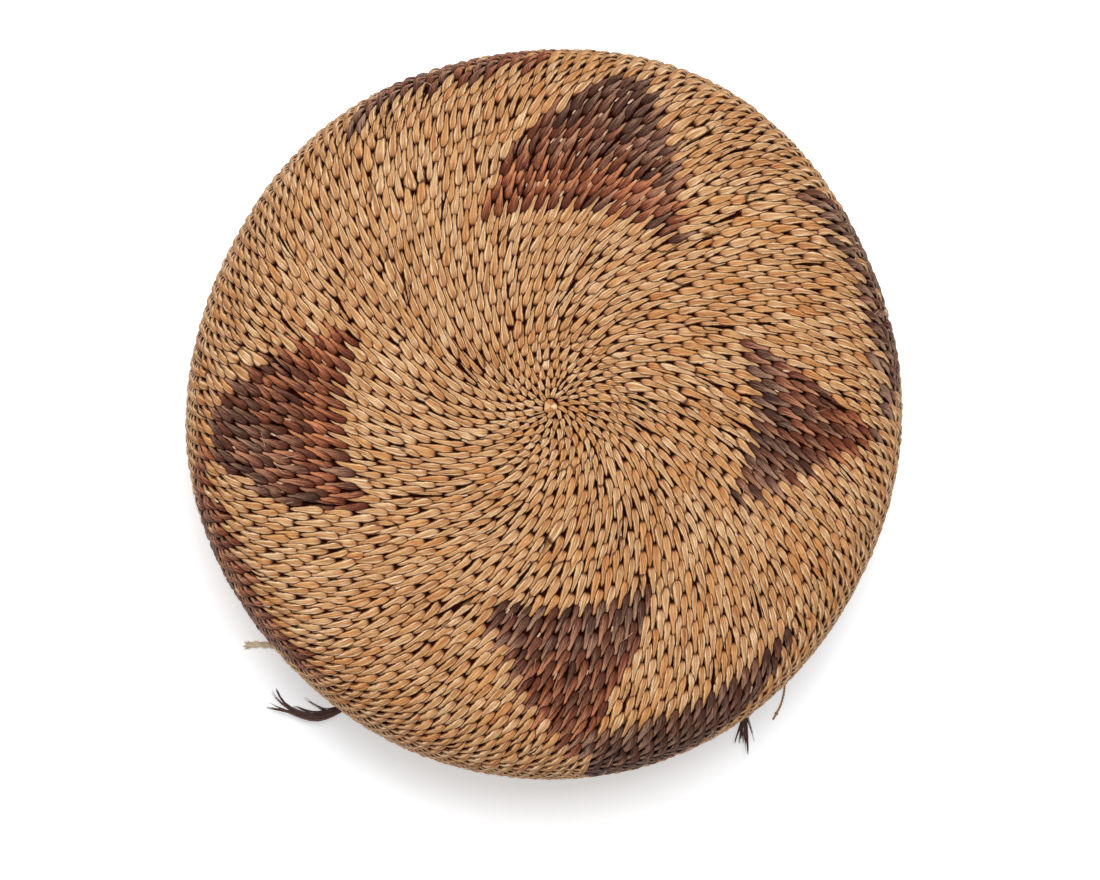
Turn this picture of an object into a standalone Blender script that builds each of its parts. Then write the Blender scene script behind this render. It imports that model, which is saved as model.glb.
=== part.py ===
"""Coiled basket with shell beads and feather tufts at its mouth, lying mouth down.

Metres, +Z up. The rim rests on the plane z = 0 round the origin and the base faces up.
Azimuths are counter-clockwise from +X, seen from above. A place on the wall is given by
its azimuth and by how far it lies from the middle of the base, measured along the outside.
"""
import math

import bmesh
import bpy
from mathutils import Matrix, Vector

MM = 0.001

# Basket
BELLY_DIAMETER = 160.4 * MM
MOUTH_INSET = 14.5 * MM
WALL_BEND_RADIUS = 65.0 * MM
SHOULDER_BEND_RADIUS = 14.0 * MM
WALL_THICKNESS = 3.9 * MM
ROW_PITCH = 3.05 * MM
GROOVE_DEPTH = 0.35 * MM
RIM_SWELL = 0.15 * MM
RIM_FLAT = 0.65 * MM
BASE_EDGE_LEAN = math.radians(5.0)
WALL_TOP_LEAN = math.radians(78.0)
# Waves by which the basket departs from a circle: waves round it, share of the radius, azimuth of a crest
ROUNDNESS_WAVES = ((2, 0.0137, 80.0), (3, 0.007, 56.5), (5, 0.0037, -13.0), (6, 0.0039, 4.0))

# Gap between neighbouring pieces
CLEARANCE = 0.3 * MM

# Bands of coils, as shares of all the rows, counted from the middle of the base
START_SHARE = 2 / 46
BASE_BAND_SHARE = 15 / 46
SHOULDER_BAND_SHARE = 25 / 46
MOUTH_BAND_SHARE = 35 / 46

# Start knot
KNOB_RADIUS = 1.2 * MM
KNOB_HEIGHT = 0.8 * MM

# Dark triangles: name, azimuth of the middle and width of the wide side, in degrees
BASE_MOTIFS = (("right", -3.5, 41.0), ("back", 81.5, 56.0), ("left", 185.0, 47.0), ("front", 274.0, 44.0))
SHOULDER_MOTIFS = (
    ("back_right", 19.0, 50.0), ("back_left", 103.5, 47.0),
    ("front_left", 209.0, 52.0), ("front_right", 294.5, 45.0),
)
MOUTH_MOTIFS = (
    ("back_right", 42.0, 46.0), ("back_left", 127.0, 46.0),
    ("front_left", 232.0, 46.0), ("front_right", 317.0, 46.0),
)
MOTIF_TIP_WIDTH = 5.0

# Beads on their string
BEAD_COUNT = 24
BEAD_DIAMETER = 4.0 * MM
BEAD_THICKNESS = 1.6 * MM
BEAD_FLOOR_GAP = 0.5 * MM
STRING_DIAMETER = 0.9 * MM
STRING_HOLD_SHARE = 0.75
STRING_LANDING_SHARE = 0.5
FIRST_BEAD_AZIMUTH = 5.25
KNOT_RADIUS = 1.1 * MM
KNOT_AZIMUTHS = (("left", 224.8), ("right", 316.0))

# Feather tufts: the tie's height up the wall, then each plume
TIE_RADIUS = 1.2 * MM
TIE_HEIGHT = 7.5 * MM
PLUME_ROOT_RADIUS = 0.6 * MM
LEFT_TUFT_AZIMUTH = 239.5
LEFT_PLUME_HEADING = 204.3
LEFT_PLUME_LENGTH = 23.0 * MM
LEFT_PLUME_DROP = 3.0 * MM
LEFT_PLUME_WIDTH = 2.2 * MM
LEFT_PLUME_BEND_SHARES = ((0.0, 0.0), (0.28, 0.02), (0.55, -0.04), (0.76, -0.21), (0.86, -0.38))
RIGHT_TUFT_AZIMUTH = 309.5
RIGHT_PLUME_HEADING = 274.5
RIGHT_PLUME_LENGTH = 17.5 * MM
RIGHT_PLUME_DROP = 3.0 * MM
RIGHT_PLUME_WIDTH = 2.8 * MM
RIGHT_PLUME_BEND_SHARES = ((0.0, 0.0), (0.3, 0.01), (0.55, 0.0), (0.8, 0.0), (1.0, 0.02))
PLUME_WIDTH_SHARES = (0.45, 0.75, 1.0, 0.8, 0.12)
PLUME_THICKNESS_SHARE = 0.45
PLUME_LEAST_THICKNESS_SHARE = 0.5

# Loose string ends beyond the knots
LEFT_TAIL_HEADING = 183.0
LEFT_TAIL_LENGTH = 12.5 * MM
LEFT_TAIL_DIAMETER = 1.6 * MM
LEFT_TAIL_DROP = 1.2 * MM
LEFT_TAIL_BEND_SHARES = ((0.0, 0.0), (0.35, -0.03), (0.7, -0.02), (0.85, 0.0), (1.0, 0.02))
LEFT_TAIL_WIDTH_SHARES = (0.7, 0.95, 1.0, 1.25, 1.1)
RIGHT_TAIL_HEADING = 305.0
RIGHT_TAIL_LENGTH = 18.0 * MM
RIGHT_TAIL_DIAMETER = 0.55 * MM
RIGHT_TAIL_DROP = 1.6 * MM
RIGHT_TAIL_BEND_SHARES = ((0.0, 0.0), (0.35, 0.0), (0.6, -0.09), (0.8, -0.24), (0.86, -0.31), (0.91, -0.37))
RIGHT_TAIL_WIDTH_SHARES = (1.0, 0.9, 0.9, 1.0, 1.9, 0.8)

# Fineness of the meshes
FIELD_COLUMNS = 8
MOTIF_COLUMNS = 5
INNER_STEPS = 3
KNOT_SEGMENTS = 16
BEAD_SEGMENTS = 8
RIM_SECTION_POINTS = 10
TUBE_SIDES = 6
BALL_SEGMENTS = 7
STRING_BEVEL_RESOLUTION = 1
SHARP_EDGE = math.radians(50.0)

# Colours: red, green, blue, roughness
NATURAL_FIBRE = ("natural_fibre", (0.61, 0.36, 0.15), 0.62)
DARK_FIBRE = ("dark_fibre", (0.11, 0.05, 0.035), 0.6)
SHELL = ("shell", (0.84, 0.8, 0.72), 0.35)
COTTON = ("cotton_string", (0.66, 0.53, 0.36), 0.85)
FEATHER = ("feather", (0.035, 0.02, 0.016), 0.5)


# Profile of the basket: three arcs that meet in line, for the base, the shoulder and the wall
BELLY_RADIUS = BELLY_DIAMETER / 2
RIM_LEAN = math.pi / 2 + math.acos(1 - MOUTH_INSET / WALL_BEND_RADIUS)
WALL_TOP_RADIUS = BELLY_RADIUS - WALL_BEND_RADIUS * (1 - math.sin(WALL_TOP_LEAN))
BASE_RADIUS = WALL_TOP_RADIUS - SHOULDER_BEND_RADIUS * (math.sin(WALL_TOP_LEAN) - math.sin(BASE_EDGE_LEAN))
BASE_BEND_RADIUS = BASE_RADIUS / math.sin(BASE_EDGE_LEAN)
BASE_LENGTH = BASE_BEND_RADIUS * BASE_EDGE_LEAN
SHOULDER_LENGTH = SHOULDER_BEND_RADIUS * (WALL_TOP_LEAN - BASE_EDGE_LEAN)
WALL_LENGTH = WALL_BEND_RADIUS * (RIM_LEAN - WALL_TOP_LEAN)
PROFILE_LENGTH = BASE_LENGTH + SHOULDER_LENGTH + WALL_LENGTH

# Rows of the coil
ROWS = round(PROFILE_LENGTH / ROW_PITCH)
ROW_STEP = PROFILE_LENGTH / ROWS
START_ROW = max(1, round(START_SHARE * ROWS))
BASE_BAND_ROW = round(BASE_BAND_SHARE * ROWS)
SHOULDER_BAND_ROW = round(SHOULDER_BAND_SHARE * ROWS)
MOUTH_BAND_ROW = round(MOUTH_BAND_SHARE * ROWS)
RIM_ROW = ROWS - 1

# The rim coil's section is an ellipse, cut flat where it rests
RIM_HALF_WIDTH = WALL_THICKNESS / 2 + RIM_SWELL
RIM_HALF_LENGTH = ROW_STEP / 2 - CLEARANCE / 2
RIM_DROP = math.hypot(RIM_HALF_WIDTH * math.cos(RIM_LEAN), RIM_HALF_LENGTH * math.sin(RIM_LEAN))


def lean_at(along):
    """Slope of the outside at a place along the profile: 0 is level, a quarter turn is upright."""
    if along <= BASE_LENGTH:
        return along / BASE_BEND_RADIUS
    if along <= BASE_LENGTH + SHOULDER_LENGTH:
        return BASE_EDGE_LEAN + (along - BASE_LENGTH) / SHOULDER_BEND_RADIUS
    return WALL_TOP_LEAN + (along - BASE_LENGTH - SHOULDER_LENGTH) / WALL_BEND_RADIUS


def fall_at(along):
    """Radius at a place along the profile, and how far it lies below the middle of the base."""
    lean = lean_at(along)
    if along <= BASE_LENGTH:
        return BASE_BEND_RADIUS * math.sin(lean), BASE_BEND_RADIUS * (1 - math.cos(lean))
    base_fall = BASE_BEND_RADIUS * (1 - math.cos(BASE_EDGE_LEAN))
    if along <= BASE_LENGTH + SHOULDER_LENGTH:
        radius = BASE_RADIUS + SHOULDER_BEND_RADIUS * (math.sin(lean) - math.sin(BASE_EDGE_LEAN))
        return radius, base_fall + SHOULDER_BEND_RADIUS * (math.cos(BASE_EDGE_LEAN) - math.cos(lean))
    shoulder_fall = SHOULDER_BEND_RADIUS * (math.cos(BASE_EDGE_LEAN) - math.cos(WALL_TOP_LEAN))
    radius = WALL_TOP_RADIUS + WALL_BEND_RADIUS * (math.sin(lean) - math.sin(WALL_TOP_LEAN))
    wall_fall = WALL_BEND_RADIUS * (math.cos(WALL_TOP_LEAN) - math.cos(lean))
    return radius, base_fall + shoulder_fall + wall_fall


def rim_centre_below_top():
    """How far the middle of the rim coil's section lies below the middle of the base."""
    along = PROFILE_LENGTH - ROW_STEP / 2
    lean = lean_at(along)
    return fall_at(along)[1] + WALL_THICKNESS / 2 * math.cos(lean)


BASKET_HEIGHT = rim_centre_below_top() + RIM_DROP - RIM_FLAT


def section_point(along, depth):
    """Radius and height at a depth under the outside."""
    lean = lean_at(along)
    radius, fall = fall_at(along)
    return radius - depth * math.sin(lean), BASKET_HEIGHT - fall - depth * math.cos(lean)


def out_of_round(azimuth):
    """Factor by which the slightly uneven basket departs from a circle."""
    factor = 1.0
    for waves, share, crest in ROUNDNESS_WAVES:
        factor += share * math.cos(waves * (azimuth - math.radians(crest)))
    return factor


def place(radius, height, azimuth):
    """Point of the basket's wall from its radius, height and azimuth."""
    wide = radius * out_of_round(azimuth)
    return Vector((wide * math.cos(azimuth), wide * math.sin(azimuth), height))


def wall_point(along, azimuth, depth):
    """Point at a depth under the outside of the wall."""
    radius, height = section_point(along, depth)
    return place(radius, height, azimuth)


def clear_scene():
    """Remove what the file holds."""
    for item in list(bpy.data.objects):
        bpy.data.objects.remove(item, do_unlink=True)


def make_material(name, colour, roughness):
    """Principled material of one plain colour, made once."""
    material = bpy.data.materials.get(name)
    if material is None:
        material = bpy.data.materials.new(name)
        material.use_nodes = True
        shader = material.node_tree.nodes["Principled BSDF"]
        shader.inputs["Base Color"].default_value = (*colour, 1.0)
        shader.inputs["Roughness"].default_value = roughness
    return material


def link_object(name, data, look):
    """Object of its own name and material, linked to the scene."""
    item = bpy.data.objects.new(name, data)
    bpy.context.scene.collection.objects.link(item)
    if not data.materials:
        data.materials.append(make_material(*look))
    return item


def finish_mesh(name, shape, look):
    """Turn a finished bmesh into a smooth shaded object with its faces pointing out."""
    bmesh.ops.recalc_face_normals(shape, faces=shape.faces)
    mesh = bpy.data.meshes.new(name)
    shape.to_mesh(mesh)
    shape.free()
    mesh.shade_smooth()
    mesh.set_sharp_from_angle(angle=SHARP_EDGE)
    return link_object(name, mesh, look)


def strip(shape, line_a, line_b, along_a, along_b):
    """Triangles between two lines of vertices that run side by side."""
    i, j = 0, 0
    while i < len(line_a) - 1 or j < len(line_b) - 1:
        step_a = j == len(line_b) - 1
        if i < len(line_a) - 1 and not step_a:
            step_a = along_a[i + 1] <= along_b[j + 1]
        if step_a:
            shape.faces.new((line_a[i], line_a[i + 1], line_b[j]))
            i += 1
        else:
            shape.faces.new((line_a[i], line_b[j + 1], line_b[j]))
            j += 1


class WallGrid:
    """Outer and inner grid of points of one piece of the wall, in columns and rows."""

    def __init__(self, shape, columns, outer, inner, closed):
        self.shape = shape
        self.columns = columns
        self.outer = outer
        self.inner = inner
        self.closed = closed
        self.vertices = {}

    def vertex(self, side, row, column):
        """Vertex on the outer or the inner side, made when it is first asked for."""
        along, depth = (self.outer if side == "outer" else self.inner)[row]
        azimuths = self.columns(along)
        key = (side, row, column % len(azimuths) if self.closed else column)
        if key not in self.vertices:
            self.vertices[key] = self.shape.verts.new(wall_point(along, azimuths[key[2]], depth))
        return self.vertices[key]

    def rows_between(self, side, low, high):
        """Numbers of the rows of one side from one place along the profile to another."""
        rows = self.outer if side == "outer" else self.inner
        slack = ROW_STEP / 100
        return [i for i, (along, _) in enumerate(rows) if low - slack <= along <= high + slack]

    def sheet(self, side, low, high, first, last):
        """Faces of one side between two places along the profile and two columns."""
        rows = self.rows_between(side, low, high)
        for a, b in zip(rows, rows[1:]):
            for column in range(first, last):
                corners = ((a, column), (b, column), (b, column + 1), (a, column + 1))
                self.shape.faces.new([self.vertex(side, *corner) for corner in corners])

    def cross_wall(self, along, first, last):
        """Faces that close the piece along a row line."""
        outer = self.rows_between("outer", along, along)[0]
        inner = self.rows_between("inner", along, along)[0]
        for column in range(first, last):
            self.shape.faces.new((
                self.vertex("outer", outer, column), self.vertex("outer", outer, column + 1),
                self.vertex("inner", inner, column + 1), self.vertex("inner", inner, column)))

    def side_wall(self, column, low, high):
        """Faces that close the piece along a column."""
        lines = []
        for side in ("outer", "inner"):
            rows = self.rows_between(side, low, high)
            places = self.outer if side == "outer" else self.inner
            lines.append(([self.vertex(side, row, column) for row in rows], [places[row][0] for row in rows]))
        (line_a, along_a), (line_b, along_b) = lines
        strip(self.shape, line_a, line_b, along_a, along_b)

    def panel(self, low, high, first, last):
        """Both sides between two places along the profile and two columns."""
        self.sheet("outer", low, high, first, last)
        self.sheet("inner", low, high, first, last)


def ridged_rows(first_row, last_row, inset):
    """Places and depths of the outside: a groove at each row line and a crown between."""
    rows = []
    for row in range(first_row, last_row):
        rows.append((row * ROW_STEP, GROOVE_DEPTH))
        rows.append(((row + 0.5) * ROW_STEP, 0.0))
    rows.append((last_row * ROW_STEP, GROOVE_DEPTH))
    rows[0] = (rows[0][0] + inset, GROOVE_DEPTH)
    rows[-1] = (rows[-1][0] - inset, GROOVE_DEPTH)
    return rows


def inner_rows(places):
    """Places and depths of the inside between given places, with steps in each stretch."""
    rows = []
    for low, high, steps in places:
        for step in range(steps):
            rows.append((low + (high - low) * step / steps, WALL_THICKNESS))
    rows.append((places[-1][1], WALL_THICKNESS))
    return rows


def motif_edges(motif, along, first, last):
    """Azimuths of a triangle's two edges at a place along the profile."""
    _, middle, width = motif
    share = min(max((along - first) / (last - first), 0.0), 1.0)
    half = math.radians(width + (MOTIF_TIP_WIDTH - width) * share) / 2
    return math.radians(middle) - half, math.radians(middle) + half


def spread(low, high, count):
    """Evenly spread azimuths from one up to but without the other."""
    return [low + (high - low) * i / count for i in range(count)]


def band_columns(motifs, first, last):
    """Function that gives a band's column azimuths, which follow the edges of its triangles."""

    def columns(along):
        edges = [motif_edges(motif, along, first, last) for motif in motifs]
        azimuths = []
        for i, (low, high) in enumerate(edges):
            following = edges[(i + 1) % len(edges)][0]
            if i == len(edges) - 1:
                following += 2 * math.pi
            azimuths += spread(low, high, MOTIF_COLUMNS)
            azimuths += spread(high, following, FIELD_COLUMNS)
        return azimuths

    return columns


def motif_columns(motif, first, last):
    """Function that gives the column azimuths of a dark triangle, with its gap to the field."""

    def columns(along):
        low, high = motif_edges(motif, along, first, last)
        gap = CLEARANCE / section_point(along, WALL_THICKNESS)[0]
        low += gap
        high -= gap
        return spread(low, high, MOTIF_COLUMNS) + [high]

    return columns


def make_field(name, motifs, first_row, last_row):
    """Ring of natural coils with a notch for each dark triangle."""
    first = first_row * ROW_STEP + CLEARANCE / 2
    notch = (last_row - 1) * ROW_STEP
    last = last_row * ROW_STEP - CLEARANCE / 2
    columns = band_columns(motifs, first_row * ROW_STEP, notch)
    outer = ridged_rows(first_row, last_row, CLEARANCE / 2)
    inner = inner_rows(((first, notch, INNER_STEPS), (notch, last, 1)))
    grid = WallGrid(bmesh.new(), columns, outer, inner, closed=True)
    group = MOTIF_COLUMNS + FIELD_COLUMNS
    for i in range(len(motifs)):
        start, edge, end = i * group, i * group + MOTIF_COLUMNS, (i + 1) * group
        grid.panel(notch, last, start, end)
        grid.panel(first, notch, edge, end)
        grid.cross_wall(first, edge, end)
        grid.cross_wall(notch, start, edge)
        grid.cross_wall(last, start, end)
        grid.side_wall(edge, first, notch)
        grid.side_wall(end, first, notch)
    return finish_mesh(name, grid.shape, NATURAL_FIBRE)


def make_motif(name, motif, first_row, last_row):
    """Dark triangle that fills its notch in the field, wide towards the base."""
    first = first_row * ROW_STEP + CLEARANCE / 2
    notch = (last_row - 1) * ROW_STEP
    last = notch - CLEARANCE
    columns = motif_columns(motif, first_row * ROW_STEP, notch)
    outer = ridged_rows(first_row, last_row - 1, CLEARANCE / 2)
    outer[-1] = (last, GROOVE_DEPTH)
    inner = inner_rows(((first, last, INNER_STEPS),))
    grid = WallGrid(bmesh.new(), columns, outer, inner, closed=False)
    grid.panel(first, last, 0, MOTIF_COLUMNS)
    for along in (first, last):
        grid.cross_wall(along, 0, MOTIF_COLUMNS)
    for column in (0, MOTIF_COLUMNS):
        grid.side_wall(column, first, last)
    return finish_mesh(name, grid.shape, DARK_FIBRE)


def make_band(name, motifs, first_row, last_row):
    """A band of the wall: its natural field and its dark triangles."""
    make_field(f"{name}_field", motifs, first_row, last_row)
    for motif in motifs:
        make_motif(f"{name}_motif_{motif[0]}", motif, first_row, last_row)


def make_base_coils():
    """Plain coils round the start, up to the first band of triangles."""
    first = START_ROW * ROW_STEP + CLEARANCE / 2
    last = BASE_BAND_ROW * ROW_STEP - CLEARANCE / 2
    notch = (SHOULDER_BAND_ROW - 1) * ROW_STEP
    band = band_columns(BASE_MOTIFS, BASE_BAND_ROW * ROW_STEP, notch)
    azimuths = band(BASE_BAND_ROW * ROW_STEP)
    outer = ridged_rows(START_ROW, BASE_BAND_ROW, CLEARANCE / 2)
    inner = inner_rows(((first, last, INNER_STEPS),))
    grid = WallGrid(bmesh.new(), lambda along: azimuths, outer, inner, closed=True)
    grid.panel(first, last, 0, len(azimuths))
    grid.cross_wall(first, 0, len(azimuths))
    grid.cross_wall(last, 0, len(azimuths))
    return finish_mesh("base_coils", grid.shape, NATURAL_FIBRE)


def spun_solid(name, outline, segments, look):
    """Solid turned about +Z from an outline of radii and heights that starts and ends on the axis."""
    shape = bmesh.new()
    loop = [shape.verts.new((radius, 0.0, height)) for radius, height in outline]
    edges = [shape.edges.new(pair) for pair in zip(loop, loop[1:])]
    bmesh.ops.spin(shape, geom=loop + edges, angle=2 * math.pi, steps=segments,
                   axis=(0.0, 0.0, 1.0), cent=(0.0, 0.0, 0.0), use_merge=True)
    bmesh.ops.remove_doubles(shape, verts=shape.verts, dist=CLEARANCE / 100)
    return finish_mesh(name, shape, look)


def make_start_knot():
    """Knot of fibre that the coil starts from, with its first turns and a small knob."""
    edge = START_ROW * ROW_STEP - CLEARANCE / 2
    top = section_point(0.0, 0.0)[1]
    outline = [(0.0, top + KNOB_HEIGHT), (KNOB_RADIUS * math.sin(math.pi / 4), top + KNOB_HEIGHT * math.cos(math.pi / 4))]
    outline.append((KNOB_RADIUS, section_point(0.0, GROOVE_DEPTH)[1]))
    for along, depth in ridged_rows(0, START_ROW, CLEARANCE / 2):
        if KNOB_RADIUS < along <= edge:
            outline.append(section_point(along, depth))
    outline.append(section_point(edge, WALL_THICKNESS))
    outline.append((0.0, section_point(0.0, WALL_THICKNESS)[1]))
    return spun_solid("start_knot", outline, KNOT_SEGMENTS, NATURAL_FIBRE)


def rim_section():
    """Points of the rim coil's section as radii and heights, cut flat at the rest plane."""
    along = PROFILE_LENGTH - ROW_STEP / 2
    lean = lean_at(along)
    radius, height = section_point(along, WALL_THICKNESS / 2)
    points = []
    for i in range(RIM_SECTION_POINTS):
        turn = 2 * math.pi * (i + 0.5) / RIM_SECTION_POINTS
        across = RIM_HALF_WIDTH * math.cos(turn)
        down = RIM_HALF_LENGTH * math.sin(turn)
        point_radius = radius + across * math.sin(lean) + down * math.cos(lean)
        point_height = height + across * math.cos(lean) - down * math.sin(lean)
        points.append((point_radius, max(point_height, 0.0)))
    return points


def make_rim_coil():
    """Last coil, which closes the wall and carries the basket where it lies mouth down."""
    notch = (RIM_ROW - 1) * ROW_STEP
    azimuths = band_columns(MOUTH_MOTIFS, MOUTH_BAND_ROW * ROW_STEP, notch)(notch)
    shape = bmesh.new()
    section = rim_section()
    rings = []
    for azimuth in azimuths:
        rings.append([shape.verts.new(place(radius, height, azimuth)) for radius, height in section])
    for a, b in zip(rings, rings[1:] + rings[:1]):
        for i in range(len(section)):
            j = (i + 1) % len(section)
            shape.faces.new((a[i], a[j], b[j], b[i]))
    return finish_mesh("rim_coil", shape, NATURAL_FIBRE)


def along_at_height(height):
    """Place along the wall's outside at a height, between the belly and the rim."""
    fall_from_belly = BELLY_HEIGHT - height
    lean = math.pi / 2 + math.asin(fall_from_belly / WALL_BEND_RADIUS)
    return BASE_LENGTH + SHOULDER_LENGTH + (lean - WALL_TOP_LEAN) * WALL_BEND_RADIUS


BELLY_HEIGHT = section_point(BASE_LENGTH + SHOULDER_LENGTH + (math.pi / 2 - WALL_TOP_LEAN) * WALL_BEND_RADIUS, 0.0)[1]


def bead_anchor():
    """Place along the wall that a bead's edge lies against."""
    stand_off = BEAD_DIAMETER / 2 + CLEARANCE
    centre_height = BEAD_DIAMETER / 2 + BEAD_FLOOR_GAP
    along = along_at_height(centre_height)
    for _ in range(8):
        along = along_at_height(centre_height - stand_off * math.cos(lean_at(along)))
    return along


def stand_off_point(along, azimuth, distance):
    """Point that stands off the outside of the wall by a distance."""
    lean = lean_at(along)
    foot = wall_point(along, azimuth, 0.0)
    outward = Vector((math.cos(azimuth) * math.sin(lean), math.sin(azimuth) * math.sin(lean), math.cos(lean)))
    return foot + outward * distance


def bead_azimuths():
    """Azimuths of the beads, evenly spread."""
    step = 360.0 / BEAD_COUNT
    return [math.radians(FIRST_BEAD_AZIMUTH + step * i) for i in range(BEAD_COUNT)]


def make_bead_mesh():
    """Flat shell disc with a bore for the string, its axis along X."""
    bore = STRING_DIAMETER / 2 + CLEARANCE
    half = BEAD_THICKNESS / 2
    shape = bmesh.new()
    corners = ((-half, bore), (-half, BEAD_DIAMETER / 2), (half, BEAD_DIAMETER / 2), (half, bore))
    rings = []
    for i in range(BEAD_SEGMENTS):
        turn = 2 * math.pi * i / BEAD_SEGMENTS
        rings.append([shape.verts.new((x, radius * math.cos(turn), radius * math.sin(turn))) for x, radius in corners])
    for a, b in zip(rings, rings[1:] + rings[:1]):
        for i in range(len(corners)):
            j = (i + 1) % len(corners)
            shape.faces.new((a[i], a[j], b[j], b[i]))
    bmesh.ops.recalc_face_normals(shape, faces=shape.faces)
    mesh = bpy.data.meshes.new("shell_bead")
    shape.to_mesh(mesh)
    shape.free()
    mesh.shade_smooth()
    mesh.set_sharp_from_angle(angle=SHARP_EDGE)
    return mesh


def make_beads():
    """Beads on edge against the wall above the rim, each with its axis along the rim."""
    mesh = make_bead_mesh()
    along = bead_anchor()
    for i, azimuth in enumerate(bead_azimuths()):
        bead = link_object(f"shell_bead_{i + 1:02d}", mesh, SHELL)
        centre = stand_off_point(along, azimuth, BEAD_DIAMETER / 2 + CLEARANCE)
        bead.matrix_world = Matrix.Translation(centre) @ Matrix.Rotation(azimuth + math.pi / 2, 4, "Z")


def string_route(start, end):
    """Points of a string from one azimuth to another: through each bead, and down to the wall between."""
    along = bead_anchor()
    high = BEAD_DIAMETER / 2 + CLEARANCE
    low = STRING_DIAMETER / 2 + CLEARANCE
    ring_radius = section_point(along, -high)[0]
    straight = BEAD_THICKNESS * STRING_HOLD_SHARE / ring_radius
    landing = straight + BEAD_DIAMETER * STRING_LANDING_SHARE / ring_radius
    middles = [azimuth + turns for azimuth in bead_azimuths() for turns in (0.0, 2 * math.pi)]

    def stand_off(azimuth):
        nearest = min(abs(azimuth - middle) for middle in middles)
        share = min(max((nearest - straight) / (landing - straight), 0.0), 1.0)
        return high + (low - high) * share

    stations = {start, end}
    for middle in middles:
        for offset in (-landing, -straight, straight, landing):
            if start < middle + offset < end:
                stations.add(middle + offset)
    return [stand_off_point(along, azimuth, stand_off(azimuth)) for azimuth in sorted(stations)]


def make_string(name, start, end):
    """String that carries the beads between two knots."""
    curve = bpy.data.curves.new(name, "CURVE")
    curve.dimensions = "3D"
    curve.bevel_depth = STRING_DIAMETER / 2
    curve.bevel_resolution = STRING_BEVEL_RESOLUTION
    curve.use_fill_caps = True
    points = string_route(start, end)
    line = curve.splines.new("POLY")
    line.points.add(len(points) - 1)
    for point, place_of_point in zip(line.points, points):
        point.co = (*place_of_point, 1.0)
    return link_object(name, curve, COTTON)


def make_strings():
    """The two strings, which end at the knots."""
    left, right = (math.radians(azimuth) for _, azimuth in KNOT_AZIMUTHS)
    gap = (KNOT_RADIUS + CLEARANCE) / BELLY_RADIUS * (BELLY_RADIUS / knot_centre(left).xy.length)
    make_string("bead_string_front", left + gap, right - gap)
    make_string("bead_string_back", right + gap, left + 2 * math.pi - gap)


def knot_centre(azimuth):
    """Middle of a knot that lies against the wall in line with the string."""
    return stand_off_point(bead_anchor(), azimuth, KNOT_RADIUS + CLEARANCE)


def tie_centre(azimuth):
    """Middle of the thread that ties a feather tuft to the wall."""
    return stand_off_point(along_at_height(TIE_HEIGHT), azimuth, TIE_RADIUS + CLEARANCE)


def make_ball(name, centre, radius, look):
    """Small round lump of thread or string, with its origin at its middle."""
    shape = bmesh.new()
    bmesh.ops.create_uvsphere(shape, u_segments=BALL_SEGMENTS, v_segments=BALL_SEGMENTS - 2, radius=radius)
    ball = finish_mesh(name, shape, look)
    ball.location = centre
    return ball


def tube_rings(points, widths, thicknesses):
    """Rings of points round a path that runs near level: half the width across, half the thickness up."""
    rings = []
    for i, point in enumerate(points):
        ahead = points[min(i + 1, len(points) - 1)] - points[max(i - 1, 0)]
        ahead.normalize()
        across = Vector((-ahead.y, ahead.x, 0.0)).normalized()
        upward = ahead.cross(across)
        ring = []
        for side in range(TUBE_SIDES):
            turn = 2 * math.pi * side / TUBE_SIDES
            offset = across * (widths[i] / 2 * math.cos(turn)) + upward * (thicknesses[i] / 2 * math.sin(turn))
            ring.append(point + offset)
        rings.append(ring)
    return rings


def make_hinged_strand(name, pivot, start_gap, heading, length, drop, bend_shares, widths, thicknesses, look):
    """Closed strand that leaves its pivot along a heading, with its origin on the pivot."""
    forward = Vector((math.cos(heading), math.sin(heading), 0.0))
    sideways = Vector((-math.sin(heading), math.cos(heading), 0.0))
    points = []
    for along_share, side_share in bend_shares:
        point = forward * (start_gap + length * along_share) + sideways * (length * side_share)
        points.append(point - Vector((0.0, 0.0, drop * along_share)))
    shape = bmesh.new()
    rings = [[shape.verts.new(co) for co in ring] for ring in tube_rings(points, widths, thicknesses)]
    for a, b in zip(rings, rings[1:]):
        for i in range(TUBE_SIDES):
            j = (i + 1) % TUBE_SIDES
            shape.faces.new((a[i], a[j], b[j], b[i]))
    shape.faces.new(rings[0])
    shape.faces.new(rings[-1])
    strand = finish_mesh(name, shape, look)
    strand.location = pivot
    return strand


def make_plume(name, azimuth, heading, length, drop, width, bend_shares):
    """Bundle of dark feather barbs, hinged at the middle of its tie."""
    widths = [width * share for share in PLUME_WIDTH_SHARES]
    thicknesses = [max(wide * PLUME_THICKNESS_SHARE, PLUME_ROOT_RADIUS * PLUME_LEAST_THICKNESS_SHARE) for wide in widths]
    widths[0] = max(widths[0], 2 * PLUME_ROOT_RADIUS)
    return make_hinged_strand(
        name, tie_centre(math.radians(azimuth)), TIE_RADIUS + CLEARANCE, math.radians(heading),
        length, drop, bend_shares, widths, thicknesses, FEATHER)


def make_tail(name, azimuth, heading, length, drop, diameter, bend_shares, width_shares):
    """Loose end of a string, hinged at the middle of its knot."""
    widths = [diameter * share for share in width_shares]
    return make_hinged_strand(
        name, knot_centre(math.radians(azimuth)), KNOT_RADIUS + CLEARANCE, math.radians(heading),
        length, drop, bend_shares, widths, widths, COTTON)


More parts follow.
